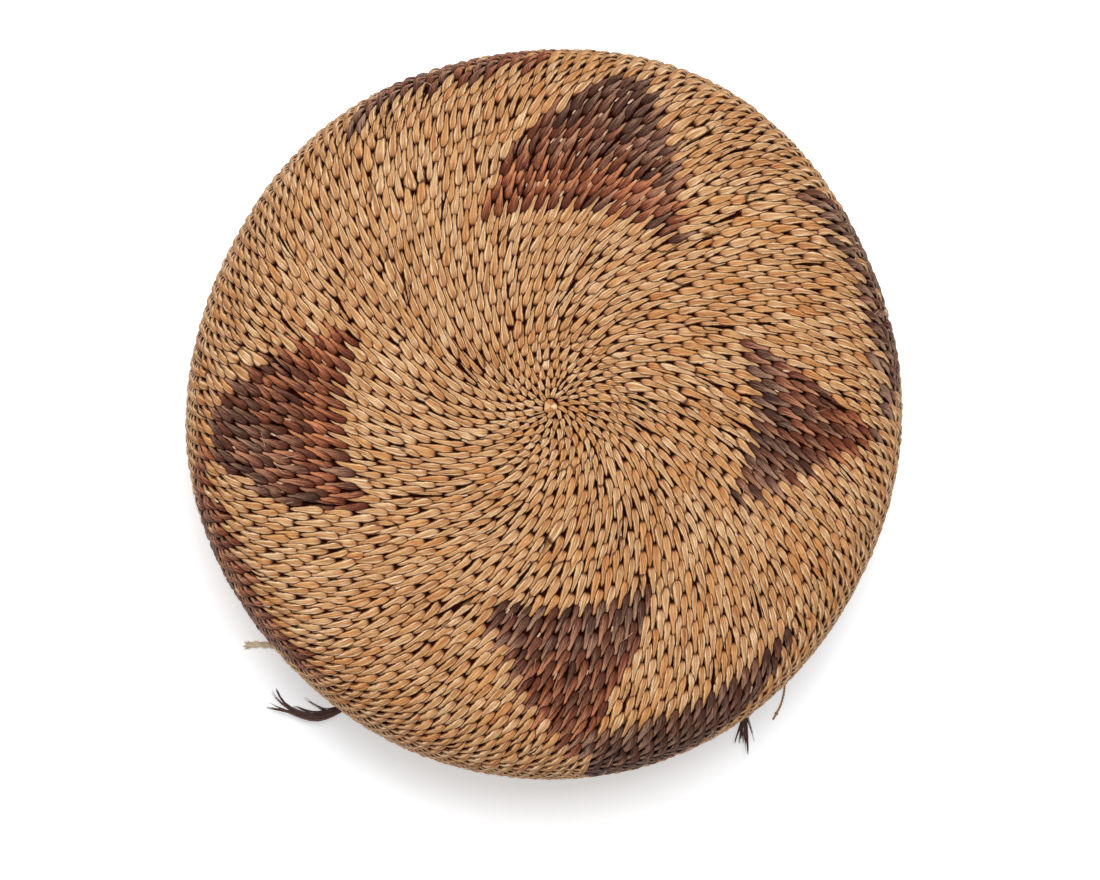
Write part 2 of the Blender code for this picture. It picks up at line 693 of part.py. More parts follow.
def make_tufts():
    """Both feather tufts with the threads that tie them."""
    make_ball("tuft_tie_left", tie_centre(math.radians(LEFT_TUFT_AZIMUTH)), TIE_RADIUS, COTTON)
    make_ball("tuft_tie_right", tie_centre(math.radians(RIGHT_TUFT_AZIMUTH)), TIE_RADIUS, COTTON)
    make_plume("feather_plume_left", LEFT_TUFT_AZIMUTH, LEFT_PLUME_HEADING, LEFT_PLUME_LENGTH,
               LEFT_PLUME_DROP, LEFT_PLUME_WIDTH, LEFT_PLUME_BEND_SHARES)
    make_plume("feather_plume_right", RIGHT_TUFT_AZIMUTH, RIGHT_PLUME_HEADING, RIGHT_PLUME_LENGTH,
               RIGHT_PLUME_DROP, RIGHT_PLUME_WIDTH, RIGHT_PLUME_BEND_SHARES)


def make_knots_and_tails():
    """Knots of the strings and the loose ends beyond them."""
    azimuths = dict(KNOT_AZIMUTHS)
    for side, azimuth in KNOT_AZIMUTHS:
        make_ball(f"string_knot_{side}", knot_centre(math.radians(azimuth)), KNOT_RADIUS, COTTON)
    make_tail("string_end_left", azimuths["left"], LEFT_TAIL_HEADING, LEFT_TAIL_LENGTH, LEFT_TAIL_DROP,
              LEFT_TAIL_DIAMETER, LEFT_TAIL_BEND_SHARES, LEFT_TAIL_WIDTH_SHARES)
    make_tail("string_end_right", azimuths["right"], RIGHT_TAIL_HEADING, RIGHT_TAIL_LENGTH, RIGHT_TAIL_DROP,
              RIGHT_TAIL_DIAMETER, RIGHT_TAIL_BEND_SHARES, RIGHT_TAIL_WIDTH_SHARES)


def main():
    """Build the basket."""
    clear_scene()
    make_start_knot()
    make_base_coils()
    make_band("base", BASE_MOTIFS, BASE_BAND_ROW, SHOULDER_BAND_ROW)
    make_band("shoulder", SHOULDER_MOTIFS, SHOULDER_BAND_ROW, MOUTH_BAND_ROW)
    make_band("mouth", MOUTH_MOTIFS, MOUTH_BAND_ROW, RIM_ROW)
    make_rim_coil()
    make_strings()
    make_beads()
    make_tufts()
    make_knots_and_tails()


main()
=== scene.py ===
"""Looks of the coiled basket: its stitches, bead string, feather tufts, light and view.

Places on the wall are given as in the solids: an azimuth counter-clockwise from +X, and how
far a point lies from the middle of the base, measured along the outside. A lift is the height
above the outside and is negative below it. The coil is followed in turns: one whole turn leads
once round the basket and one row outward.
"""
import math

import bpy
import numpy as np
from mathutils import Matrix, Vector


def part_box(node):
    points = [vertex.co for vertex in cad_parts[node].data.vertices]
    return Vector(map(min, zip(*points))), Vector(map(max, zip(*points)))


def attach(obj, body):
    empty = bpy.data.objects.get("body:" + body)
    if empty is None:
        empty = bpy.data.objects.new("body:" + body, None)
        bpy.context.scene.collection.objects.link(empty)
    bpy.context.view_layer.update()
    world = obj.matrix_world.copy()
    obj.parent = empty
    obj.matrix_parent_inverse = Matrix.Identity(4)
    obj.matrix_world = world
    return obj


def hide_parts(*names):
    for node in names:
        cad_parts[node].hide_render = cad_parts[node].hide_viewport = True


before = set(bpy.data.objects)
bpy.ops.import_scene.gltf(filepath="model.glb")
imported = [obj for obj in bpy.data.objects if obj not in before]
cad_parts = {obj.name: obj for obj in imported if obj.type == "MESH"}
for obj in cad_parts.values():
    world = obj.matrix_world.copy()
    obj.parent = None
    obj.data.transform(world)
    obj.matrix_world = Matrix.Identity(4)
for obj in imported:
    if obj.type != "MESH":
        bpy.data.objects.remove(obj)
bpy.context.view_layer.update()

MM = 0.001
WHOLE_TURN = 2 * math.pi
SEED = 20
random = np.random.default_rng(SEED)

# Basket, as in the solids
BELLY_RADIUS = 80.2 * MM
MOUTH_INSET = 14.5 * MM
WALL_BEND_RADIUS = 65.0 * MM
SHOULDER_BEND_RADIUS = 14.0 * MM
WALL_THICKNESS = 3.9 * MM
ROW_PITCH = 3.05 * MM
RIM_SWELL = 0.15 * MM
RIM_FLAT = 0.65 * MM
CLEARANCE = 0.3 * MM
BASE_EDGE_LEAN = math.radians(5.0)
WALL_TOP_LEAN = math.radians(78.0)
# Waves round the basket, share of the radius and azimuth of a crest in degrees
OUT_OF_ROUND = ((2, 0.0137, 80.0), (3, 0.007, 56.5), (5, 0.0037, -13.0), (6, 0.0039, 4.0))

# Profile: three arcs that meet in line
RIM_LEAN = math.pi / 2 + math.acos(1 - MOUTH_INSET / WALL_BEND_RADIUS)
WALL_TOP_RADIUS = BELLY_RADIUS - WALL_BEND_RADIUS * (1 - math.sin(WALL_TOP_LEAN))
BASE_RADIUS = WALL_TOP_RADIUS - SHOULDER_BEND_RADIUS * (math.sin(WALL_TOP_LEAN) - math.sin(BASE_EDGE_LEAN))
BASE_BEND_RADIUS = BASE_RADIUS / math.sin(BASE_EDGE_LEAN)
BASE_LENGTH = BASE_BEND_RADIUS * BASE_EDGE_LEAN
SHOULDER_LENGTH = SHOULDER_BEND_RADIUS * (WALL_TOP_LEAN - BASE_EDGE_LEAN)
WALL_LENGTH = WALL_BEND_RADIUS * (RIM_LEAN - WALL_TOP_LEAN)
PROFILE_LENGTH = BASE_LENGTH + SHOULDER_LENGTH + WALL_LENGTH
BASE_FALL = BASE_BEND_RADIUS * (1 - math.cos(BASE_EDGE_LEAN))
SHOULDER_FALL = SHOULDER_BEND_RADIUS * (math.cos(BASE_EDGE_LEAN) - math.cos(WALL_TOP_LEAN))
# For each arc: its start along the outside, the lean, the radius and the fall there, and its bend
ARCS = np.array((
    (0.0, 0.0, 0.0, 0.0, BASE_BEND_RADIUS),
    (BASE_LENGTH, BASE_EDGE_LEAN, BASE_RADIUS, BASE_FALL, SHOULDER_BEND_RADIUS),
    (BASE_LENGTH + SHOULDER_LENGTH, WALL_TOP_LEAN, WALL_TOP_RADIUS, BASE_FALL + SHOULDER_FALL,
     WALL_BEND_RADIUS)))
ROWS = round(PROFILE_LENGTH / ROW_PITCH)
ROW_STEP = PROFILE_LENGTH / ROWS
RIM_HALF_WIDTH = WALL_THICKNESS / 2 + RIM_SWELL
RIM_HALF_LENGTH = ROW_STEP / 2 - CLEARANCE / 2
FLOOR_GAP = 0.02 * MM
RIM_MARGIN = 0.9 * MM

# The coil as it winds: the first turns lie closer together
COIL_PHASE = -0.1
FIRST_TURN = -1.25
LAST_TURN = 45.55
CROWDED_TURNS = 7.0
CROWDED_RAMP = 3.5
CROWDING = 0.3
# Waves of the rows round the base: waves, rows and azimuth of a crest in degrees, between two fades
ROW_SWAY = ((1, 0.3, 229.7), (2, 0.2, 0.0))
SWAY_TURNS = ((3, 11), (27, 21))
# Ripples all the way: rows, waves a turn and phase, between two fades
ROW_RIPPLES = ((0.07, 0.73, 1.3), (0.06, 0.31, 0.4))
RIPPLE_TURNS = ((1.5, 4.5), (LAST_TURN - 1, LAST_TURN - 4))

# Spacing of the stitches and their slant from radial, at places along the outside
PITCH_PLACES = np.array((2.0, 5.0, 11.0, 18.0, 26.0, 55.0)) * MM
PITCHES = np.array((1.2, 1.45, 1.95, 2.45, 2.75, 2.9)) * MM
SLANT_PLACES = np.array((5.0, 14.0, 20.0, 32.0, 39.0, 60.0, 68.0, 76.0)) * MM
SLANTS = (20.0, 25.0, 32.0, 33.0, 29.0, 29.0, 32.0, 36.0)


def rise(value, start, end):
    """Share of the way from one value to another, kept from 0 to 1."""
    return np.clip((value - start) / (end - start), 0, 1)


def smooth_step(share):
    """Share that starts and ends gently."""
    return share * share * (3 - 2 * share)


def around(count):
    """Evenly spread angles of a whole turn."""
    return WHOLE_TURN * np.arange(count) / count


def profile(along):
    """Radius, fall below the middle of the base and lean at places along the outside."""
    along = np.asarray(along, float)
    arc = (along > BASE_LENGTH) + 1 * (along > BASE_LENGTH + SHOULDER_LENGTH)
    start, first_lean, radius, fall, bend = np.moveaxis(ARCS[arc], -1, 0)
    lean = first_lean + (along - start) / bend
    radius = radius + bend * (np.sin(lean) - np.sin(first_lean))
    return radius, fall + bend * (np.cos(first_lean) - np.cos(lean)), lean


def basket_height():
    """Height of the middle of the base above the rest plane."""
    _, fall, lean = profile(PROFILE_LENGTH - ROW_STEP / 2)
    drop = math.hypot(RIM_HALF_WIDTH * math.cos(RIM_LEAN), RIM_HALF_LENGTH * math.sin(RIM_LEAN))
    return float(fall) + WALL_THICKNESS / 2 * math.cos(lean) + drop - RIM_FLAT


HEIGHT = basket_height()


def waves_at(azimuth, waves):
    """Sum of waves round the basket, each a count, a size and the azimuth of a crest."""
    return sum(size * np.cos(count * (azimuth - math.radians(crest))) for count, size, crest in waves)


def surface(along, azimuth, lift):
    """Points above or below the outside, as an array."""
    radius, fall, lean = profile(along)
    wide = (radius + lift * np.sin(lean)) * (1 + waves_at(azimuth, OUT_OF_ROUND))
    height = HEIGHT - fall + lift * np.cos(lean)
    return np.stack(np.broadcast_arrays(wide * np.cos(azimuth), wide * np.sin(azimuth), height), -1)


def between(turn, fades):
    """Share that rises over a first range of turns and falls over a second."""
    return rise(turn, *fades[0]) * rise(turn, *fades[1])


def row_sway(turn):
    """How far, in rows, the coil strays from an even spiral."""
    azimuth = WHOLE_TURN * turn
    ripple = sum(rows * np.sin(azimuth * waves + phase) for rows, waves, phase in ROW_RIPPLES)
    return waves_at(azimuth, ROW_SWAY) * between(turn, SWAY_TURNS) + ripple * between(turn, RIPPLE_TURNS)


def along_of(turn):
    """Place along the outside of the coil's crown at a turn."""
    early = np.maximum(CROWDED_TURNS - turn, 0.0)
    ramp = np.minimum(early, CROWDED_RAMP)
    gathered = ramp ** 2 / (2 * CROWDED_RAMP) + early - ramp
    return ROW_STEP * (turn + COIL_PHASE + CROWDING * gathered + row_sway(turn))


def pitch_at(along):
    """Spacing of the stitches along the coil."""
    return np.interp(along, PITCH_PLACES, PITCHES)


def slope_at(along):
    """How far a stitch runs clockwise for each step outward."""
    return np.tan(np.radians(np.interp(along, SLANT_PLACES, SLANTS)))


# Laying of the stitches, in spacings: spread of a place, and when one is left out or put in
PLACE_SPREAD = 0.035
LEAST_GAP = 0.45
LEAVING_OUT = {"lack": -0.8, "gap": 0.95}
PUTTING_IN = {"surplus": 0.5, "gap": 1.04}
EVENING_WINDOW = 8
EVENING_SHARE = 0.25
SETTLING_PASSES = 60
SETTLING_EVENLY = 0.3
SETTLING_IN_LINE = 0.14
# The first stitches have no turn before them to line up with
FREE_TURNS = 1.2
# Slope that a stitch may add to meet the gap that it should lie in
MOST_STRAY = 0.3


def place_stitches():
    """Turns at which the stitches cross the crown of the coil.

    Each stitch sits between the ends of two stitches of the turn before. Where the turn
    grows too long for that, one more is put in, and where it grows short, one is left out.
    """
    turns = [FIRST_TURN]
    while turns[-1] < FIRST_TURN + 1:
        along = float(along_of(turns[-1]))
        turns.append(turns[-1] + float(pitch_at(along)) / (WHOLE_TURN * max(along, ROW_STEP / 2)))
    parent = 0
    surplus = 0.0
    while turns[-1] < LAST_TURN:
        along = float(along_of(turns[-1]))
        wanted = float(pitch_at(along)) / (WHOLE_TURN * float(profile(along)[0]))
        middle = (turns[parent] + turns[parent + 1]) / 2 + 1 - float(turn_shift(turns[-1]))
        parent += 1
        middle += wanted * random.normal(0, PLACE_SPREAD)
        gap = middle - turns[-1]
        surplus += gap / wanted - 1
        lacking = surplus < LEAVING_OUT["lack"] and gap < LEAVING_OUT["gap"] * wanted
        if gap < LEAST_GAP * wanted or lacking:
            surplus += 1 - gap / wanted
            continue
        if surplus > PUTTING_IN["surplus"] and gap > PUTTING_IN["gap"] * wanted:
            turns.append(turns[-1] + gap / 2)
            surplus -= 1
        turns.append(middle)
        for i in range(len(turns) - EVENING_WINDOW, len(turns) - 1):
            turns[i] += EVENING_SHARE * ((turns[i - 1] + turns[i + 1]) / 2 - turns[i])
    return settle(np.array(turns))


def settle(turns):
    """Ease the stitches into even steps, each in line with the gaps of the turns beside it."""
    for _ in range(SETTLING_PASSES):
        outward, inward = strays(turns)
        evenly = (turns[:-2] + turns[2:]) / 2 - turns[1:-1]
        turns[1:-1] += SETTLING_EVENLY * evenly + SETTLING_IN_LINE * (outward + inward)[1:-1]
    return turns


def turn_shift(turns):
    """Part of a turn that a stitch runs back by on its way to the next row."""
    along = along_of(turns)
    step = along_of(turns + 1) - along
    return slope_at(along) * step / (WHOLE_TURN * profile(along)[0])


def strays(turns):
    """How far the nearest gaps lie from where each stitch leads to, outward and inward, in turns."""
    shift = turn_shift(turns)
    found = []
    for landing, free in (
            (turns + 1 - shift, turns > LAST_TURN - 1),
            (turns - 1 + shift, turns < FIRST_TURN + FREE_TURNS)):
        after = np.clip(np.searchsorted(turns, landing), 1, len(turns) - 1)
        found.append(np.where(free, 0, (turns[after - 1] + turns[after]) / 2 - landing))
    return found


def even(array):
    """Array smoothed a little from each stitch to the next."""
    smooth = array.copy()
    smooth[1:-1] = (array[:-2] + 2 * array[1:-1] + array[2:]) / 4
    return smooth


# One stitch: how it starts and how many rows it spans, from the crown of its own row
STITCH_START = -0.65
STITCH_ROWS = 2.12
STITCH_WIDTH_SHARE = 0.9
# Share of a local change of the spacing that is added to the width
WIDTH_GAIN = 0.05
# Spread of each value among the stitches
SLOPE_SPREAD = 0.025
WIDTH_SPREAD = 0.07
WIDTH_LIMITS = (0.8, 1.2)
ROWS_SPREAD = 0.045
ROWS_LIMITS = (0.88, 1.12)
START_SPREAD = 0.035
BOW = 0.015
BOW_SPREAD = 0.012
LIFT_SPREAD = 0.05 * MM
ROLL_SPREAD = 0.08
# Turns over which the relief grows towards the wall
RELIEF_TURNS = (18, 24)
# The first stitches are shorter and wider, from the first turn here to the second
EARLY_TURNS = (7.5, 1.5)
EARLY_GAINS = {"rows": -0.2, "start": -0.06, "width": 0.26}


def stitch_values(turns):
    """Arrays with the place and the make of every stitch of the outside."""
    along = along_of(turns)
    round_length = WHOLE_TURN * profile(along)[0]
    slope = slope_at(along)
    step = along_of(turns + 1) - along
    scale = round_length / step
    outward, inward = (even(stray * scale).clip(-MOST_STRAY, MOST_STRAY) for stray in strays(turns))
    count = len(turns)
    sway = random.normal(0, SLOPE_SPREAD, count)
    pitch = (1 + WIDTH_GAIN) * np.gradient(turns) * round_length - WIDTH_GAIN * pitch_at(along)
    width = pitch * STITCH_WIDTH_SHARE * np.cos(np.arctan(slope))
    values = {
        "number": np.arange(count),
        "turn": turns,
        "along": along,
        "azimuth": WHOLE_TURN * turns,
        "slope": slope,
        "slope_in": slope + inward + sway,
        "slope_out": slope - outward + sway,
        "step": step,
        "width": width * random.normal(1, WIDTH_SPREAD, count).clip(*WIDTH_LIMITS),
        "rows": STITCH_ROWS * random.normal(1, ROWS_SPREAD, count).clip(*ROWS_LIMITS),
        "start": STITCH_START + random.normal(0, START_SPREAD, count),
        "bow": random.normal(BOW, BOW_SPREAD, count),
        "lift": random.normal(0, LIFT_SPREAD, count),
        "roll": random.normal(0, ROLL_SPREAD, count),
        "relief": 1 + rise(turns, *RELIEF_TURNS),
        "sideways": np.zeros(count),
        "tone": random.random(count),
        "warm": random.random(count),
        "seed": random.random(count),
    }
    for key, gain in EARLY_GAINS.items():
        values[key] *= 1 + gain * rise(turns, *EARLY_TURNS)
    return values


def choose(values, which):
    """The chosen stitches only."""
    return {key: array[which] for key, array in values.items()}


def columns(values):
    """Values of stitches as columns, to go with rows of stations along them."""
    return {key: array[:, None] for key, array in values.items()}


def join(*groups):
    """One set of values out of several."""
    return {key: np.concatenate([group[key] for group in groups]) for key in groups[0]}


# Stitches that have parted: how many, where they part, and how much their strands differ
PARTED_SHARE = 0.02
PARTING = (0.35, 0.62)
PARTING_GAP = 0.04
PARTING_SLOPES = (0.0, 0.09)
PARTING_LENGTHS = (0.8, 1.05)
PARTING_LIFT = 0.06 * MM


def split_some(values):
    """Part a few of the stitches lengthwise into two uneven strands."""
    parted = random.random(len(values["turn"])) < PARTED_SHARE
    source = choose(values, parted)
    cut = random.uniform(*PARTING, parted.sum())
    count = len(cut)
    parts = [choose(values, ~parted)]
    for side, part in ((-1, cut), (1, 1 - cut)):
        strand = dict(source)
        strand["sideways"] = side * (1 - part) * 0.5 * source["width"]
        strand["width"] = source["width"] * (part - PARTING_GAP)
        for key in ("slope_in", "slope_out"):
            strand[key] = source[key] - side * random.uniform(*PARTING_SLOPES, count)
        strand["rows"] = source["rows"] * random.uniform(*PARTING_LENGTHS, count)
        strand["lift"] = source["lift"] + side * random.normal(0, PARTING_LIFT, count)
        strand["seed"] = random.random(count)
        parts.append(strand)
    return join(*parts)


# Dark triangles: node, first turn, rows, edges in degrees at the first and at the last row, bulge
MOTIFS = (
    ("base_motif_front", 14, 11, (250.5, 297.0), (272.0, 275.0), -2.0),
    ("base_motif_right", 15, 9, (-27.0, 18.0), (-7.5, -2.5), -2.0),
    ("base_motif_back", 15, 10, (53.0, 112.0), (74.0, 81.0), 0.0),
    ("base_motif_left", 15, 10, (160.5, 208.0), (180.0, 188.5), 1.5),
    ("shoulder_motif_front_right", 23, 8, (274.0, 317.5), (276.0, 286.0), -1.0),
    ("shoulder_motif_back_right", 24, 10, (-4.0, 44.0), (17.0, 22.0), 0.0),
    ("shoulder_motif_back_left", 25, 10, (80.0, 127.0), (101.0, 107.0), 0.0),
    ("shoulder_motif_front_left", 25, 10, (183.0, 231.5), (206.0, 212.0), 1.5),
    ("mouth_motif_back_right", 34, 10, (19.0, 65.0), (39.0, 45.0), 0.0),
    ("mouth_motif_back_left", 34, 10, (104.0, 150.0), (124.0, 130.0), 0.0),
    ("mouth_motif_front_left", 34, 10, (209.0, 255.0), (229.0, 235.0), 0.0),
    ("mouth_motif_front_right", 34, 10, (294.0, 340.0), (314.0, 320.0), 0.0),
)
MOTIF_NODES = [node for node, *_ in MOTIFS]
MOTIF_EDGE_SPREAD = 0.0012


def motif_of(values):
    """Number of the dark triangle that each stitch belongs to, or -1."""
    found = np.full(len(values["turn"]), -1)
    turn = values["turn"] + random.normal(0, MOTIF_EDGE_SPREAD, len(found))
    for number, (_, first, rows, wide, narrow, bulge) in enumerate(MOTIFS):
        row = np.round(turn - first - sum(wide) / 2 / 360).astype(int)
        share = row / (rows - 1)
        swell = bulge * 4 * share * (1 - share)
        low = wide[0] + (narrow[0] - wide[0]) * share - swell
        high = wide[1] + (narrow[1] - wide[1]) * share + swell
        degrees = (turn - first - row) * 360
        found[(row >= 0) & (row < rows) & (degrees >= low) & (degrees <= high)] = number
    return found


# Red of the dark stitches: base share, change from first to last row and from low to high azimuth
MOTIF_REDNESS = {
    "base_motif_front": (0.1, 0.9, -0.1),
    "base_motif_right": (0.1, 0.8, 0.1),
    "base_motif_back": (0.75, -0.8, 0.5),
    "base_motif_left": (0.8, -0.7, -0.4),
    "shoulder_motif_front_right": (-0.1, 0.3, 0.0),
    "shoulder_motif_back_right": (-0.1, 0.3, 0.0),
    "shoulder_motif_back_left": (0.5, 0.1, -0.5),
    "shoulder_motif_front_left": (0.8, -0.8, 0.0),
}
REDNESS_ELSEWHERE = (0.3, 0.2, 0.0)
REDNESS_SPREAD = 0.8
# Worn bands: share of natural stitches in the first row, share in the others, and how much paler
WORN_BANDS = {
    "shoulder_motif_back_right": (0.75, 0.1, 0.5),
    "shoulder_motif_back_left": (0.75, 0.1, 0.5),
    "shoulder_motif_front_left": (0.6, 0.1, 0.5),
    "shoulder_motif_front_right": (0.0, 0.0, 0.12),
}
# Rows of brighter, redder stitches: the first and the last
BRIGHT_ROWS = {"base_motif_back": (1, 2), "base_motif_left": (1, 1)}
BRIGHT_WARMTH = 0.5
BRIGHT_TONE = (0.6, 0.55)
# Patches of tone over the whole basket, and the side where the natural stitches are warmer
PATCH_SHARE = 0.25
WARM_SIDE = math.radians(-45)
WARM_SIDE_SHARE = 0.12
MOST_TONE = 1.4
# End of a band where dark, golden and plain stitches mix
BLENDED_MOTIF = "shoulder_motif_back_left"
BLEND_BELOW = 93.5
BLEND_SPREAD = 1.5
BLEND_SHARE = 0.62


def paint_stitches(values):
    """Regional differences of colour over the basket."""
    azimuth, along = values["azimuth"], values["along"]
    patch = 0.5 + 0.5 * np.sin(azimuth * 2 + along * 90 + 1.0) * np.sin(azimuth * 3 - along * 140)
    values["tone"] = (1 - PATCH_SHARE) * values["tone"] + PATCH_SHARE * patch
    warm_side = 0.5 + 0.5 * np.cos(azimuth - WARM_SIDE)
    warmer = (1 - WARM_SIDE_SHARE) * values["warm"] + WARM_SIDE_SHARE * warm_side
    values["warm"] = np.where(values["motif"] < 0, warmer, values["warm"])
    for number, (node, first, rows, wide, _, _) in enumerate(MOTIFS):
        chosen = np.flatnonzero(values["motif"] == number)
        base, outward, sideways = MOTIF_REDNESS.get(node, REDNESS_ELSEWHERE)
        row = values["turn"][chosen] - first - sum(wide) / 2 / 360
        off = (azimuth[chosen] - math.radians(sum(wide) / 2) + math.pi) % WHOLE_TURN - math.pi
        redness = base + outward * row / (rows - 1) + sideways * off / math.radians((wide[1] - wide[0]) / 2)
        values["warm"][chosen] = redness + REDNESS_SPREAD * (values["warm"][chosen] - 0.5)
        first_bright, last_bright = BRIGHT_ROWS.get(node, (rows, rows))
        bright = chosen[(row > first_bright - 0.5) & (row < last_bright + 0.5)]
        values["warm"][bright] += BRIGHT_WARMTH
        values["tone"][bright] = BRIGHT_TONE[0] * values["tone"][bright] + BRIGHT_TONE[1]
        first_share, share_elsewhere, paler = WORN_BANDS.get(node, (0.0, 0.0, 0.0))
        plain = random.random(len(row)) < np.where(row < 0.5, first_share, share_elsewhere)
        values["tone"][chosen[~plain]] += paler
        values["motif"][chosen[plain]] = -1
    values["warm"] = values["warm"].clip(0, 1)
    values["tone"] = values["tone"].clip(0, MOST_TONE)


def blend_band(values):
    """Loose mix of dark, golden and plain stitches at one end of a dark band."""
    count = len(values["azimuth"])
    degrees = np.degrees(values["azimuth"]) % 360 + random.normal(0, BLEND_SPREAD, count)
    zone = (values["motif"] == MOTIF_NODES.index(BLENDED_MOTIF)) & (degrees < BLEND_BELOW)
    values["warm"][zone] = 1.0
    values["motif"][zone & (random.random(count) < BLEND_SHARE)] = -1


# Shape of one stitch: share of its length, then the share of its width and the lift of its crown
STITCH_STEPS = np.array((0.0, 0.025, 0.06, 0.11, 0.18, 0.28, 0.4, 0.53, 0.66, 0.79, 0.9, 1.0))
STITCH_WIDTHS = np.array((0.5, 0.7, 0.84, 0.94, 1.0, 0.99, 0.88, 0.72, 0.58, 0.46, 0.35, 0.14))
STITCH_LIFTS = np.array((-1.2, -0.75, -0.38, -0.15, -0.02, 0.08, 0.06, -0.06, -0.2, -0.33, -0.43, -0.58)) * MM
# Places across a stitch, from edge to edge, to which a point beneath its middle is added
STITCH_PLACES = np.array((-1.0, -0.72, -0.27, 0.27, 0.72, 1.0))
# The stitches of the inside are coarser
INSIDE_STEPS = np.array((0.0, 0.06, 0.28, 0.53, 0.79, 1.0))
INSIDE_PLACES = np.array((-1.0, -0.45, 0.45, 1.0))
STITCH_CROWN = 0.72 * MM
STITCH_BELOW = 0.14 * MM
SECTION_POWER = 2.3
# The crown grows with the broadest half, between limits, and shrinks where the stitch narrows
BROAD_HALF = 0.98 * MM
CROWN_LIMITS = (0.3, 1.1)
CROWN_POWER = 0.8
# Rows from its own at which a stitch turns from its inner slope to its outer one
BEND_ROWS = (-0.2, 0.2)
BOW_AT_CROWN = 0.8
# The middle of the base is shifted a little
START_SHIFT = np.array((-0.5, 0.15)) * MM
START_SHIFT_REACH = 12.0 * MM
HOLLOW_RADIUS = 0.75 * MM


def wall_radius(along):
    """Radius at places along the outside, never less than the hollow's."""
    return np.maximum(profile(along)[0], HOLLOW_RADIUS)


def bowed(values, share):
    """How far a stitch bends aside at shares of its length."""
    length = values["rows"] * values["step"] / np.cos(np.arctan(values["slope"]))
    return values["bow"] * length * (4 * share * (1 - share) - BOW_AT_CROWN)


def crest(values, share):
    """Lift of the crown of a stitch at shares of its length."""
    return np.interp(share, STITCH_STEPS, STITCH_LIFTS) * values["relief"] + values["lift"]


def crown_over_edge(half, broad):
    """How far a stitch stands over its edges, from half its width there and at its broadest."""
    return STITCH_CROWN * (broad / BROAD_HALF).clip(*CROWN_LIMITS) * (half / broad) ** CROWN_POWER


def stitch_points(values, steps, places, inside=False):
    """Points of each stitch, by stations along and places across, and where they lie."""
    own = columns(values)
    place = own["start"] + steps * own["rows"]
    along = np.minimum(own["along"] + place * own["step"], PROFILE_LENGTH - RIM_MARGIN)
    radius = wall_radius(along)
    bend = rise((place[:, 1:] + place[:, :-1]) / 2, *BEND_ROWS)
    slope = own["slope_in"] * (1 - bend) + own["slope_out"] * bend
    turn_back = slope * np.diff(along) / ((radius[:, 1:] + radius[:, :-1]) / 2)
    line = -np.pad(np.cumsum(turn_back, axis=1), ((0, 0), (1, 0)))
    crowns = -values["start"] / values["rows"]
    at_crown = np.array([np.interp(crown, steps, row) for crown, row in zip(crowns, line)])
    azimuth = own["azimuth"] + line - at_crown[:, None]
    half = own["width"] / 2 * np.interp(steps, STITCH_STEPS, STITCH_WIDTHS)
    thick = crown_over_edge(half, half.max(axis=1, keepdims=True))
    reach = np.append(places, 0.0) * half[..., None]
    fall = np.append(np.abs(places) ** SECTION_POWER, 1.0) * thick[..., None]
    lift = crest(own, steps)[..., None] - fall + own["roll"][..., None] * reach
    lift[..., -1] -= STITCH_BELOW
    if inside:
        lift = -WALL_THICKNESS - lift
    across = reach + (bowed(own, steps) + own["sideways"])[..., None]
    slant = np.arctan(own["slope"])[..., None]
    along = along[..., None] + across * np.sin(slant)
    azimuth = azimuth[..., None] + across * np.cos(slant) / radius[..., None]
    points = surface(along, azimuth, lift)
    if not inside:
        points[..., :2] += START_SHIFT * rise(along, START_SHIFT_REACH, 0)[..., None]
    points[..., 2] = np.maximum(points[..., 2], FLOOR_GAP)
    return points, along, azimuth, lift


def height_of(stitch, along, azimuth):
    """Height that a stitch of the outside has at given places, and far below where it has none."""
    radius = wall_radius(along)
    outward = along - stitch["along"]
    turned = (azimuth - stitch["azimuth"] + math.pi) % WHOLE_TURN - math.pi
    slope = np.where(outward > 0, stitch["slope_out"], stitch["slope_in"])
    slant = np.arctan(stitch["slope"])
    back = slope * outward / ((radius + wall_radius(stitch["along"])) / 2)
    across = (turned + back) * radius * np.cos(slant)
    share = ((outward - across * np.sin(slant)) / stitch["step"] - stitch["start"]) / stitch["rows"]
    across = across - bowed(stitch, share)
    broad = stitch["width"] / 2
    half = broad * np.interp(share, STITCH_STEPS, STITCH_WIDTHS)
    part = np.abs(across) / half
    fall = crown_over_edge(half, broad) * np.minimum(part, 1) ** SECTION_POWER
    height = crest(stitch, share) + stitch["roll"] * across - fall
    return np.where((share > 0) & (share < 1) & (part < 1), height, -WALL_THICKNESS)


# Stitches that may lie against one: rows away, and how far from the one that it leads to there
NEIGHBOURS = ((1, (-2, -1, 0, 1)), (-1, (-2, -1, 0, 1)), (2, (-1, 0)), (-2, (-1, 0)))
MOST_CLEAR = 1.0 * MM


def height_over_others(values, crowd, along, azimuth, lift):
    """Height of places on the stitches over the highest stitch beside or beneath them."""
    turns, own = crowd["turn"], values["number"]
    shift = turn_shift(turns[own])
    numbers = [own - 1, own + 1]
    for rows, steps in NEIGHBOURS:
        landing = np.searchsorted(turns, turns[own] + rows * (1 - shift))
        numbers.extend(landing + step for step in steps)
    others = np.full(along.shape, -WALL_THICKNESS)
    for number in numbers:
        kept = number.clip(0, len(turns) - 1)
        stitch = columns(columns(choose(crowd, kept)))
        height = height_of(stitch, along, azimuth)
        height[(number != kept) | (kept == own)] = -WALL_THICKNESS
        others = np.maximum(others, height)
    return np.minimum(lift - others, MOST_CLEAR)


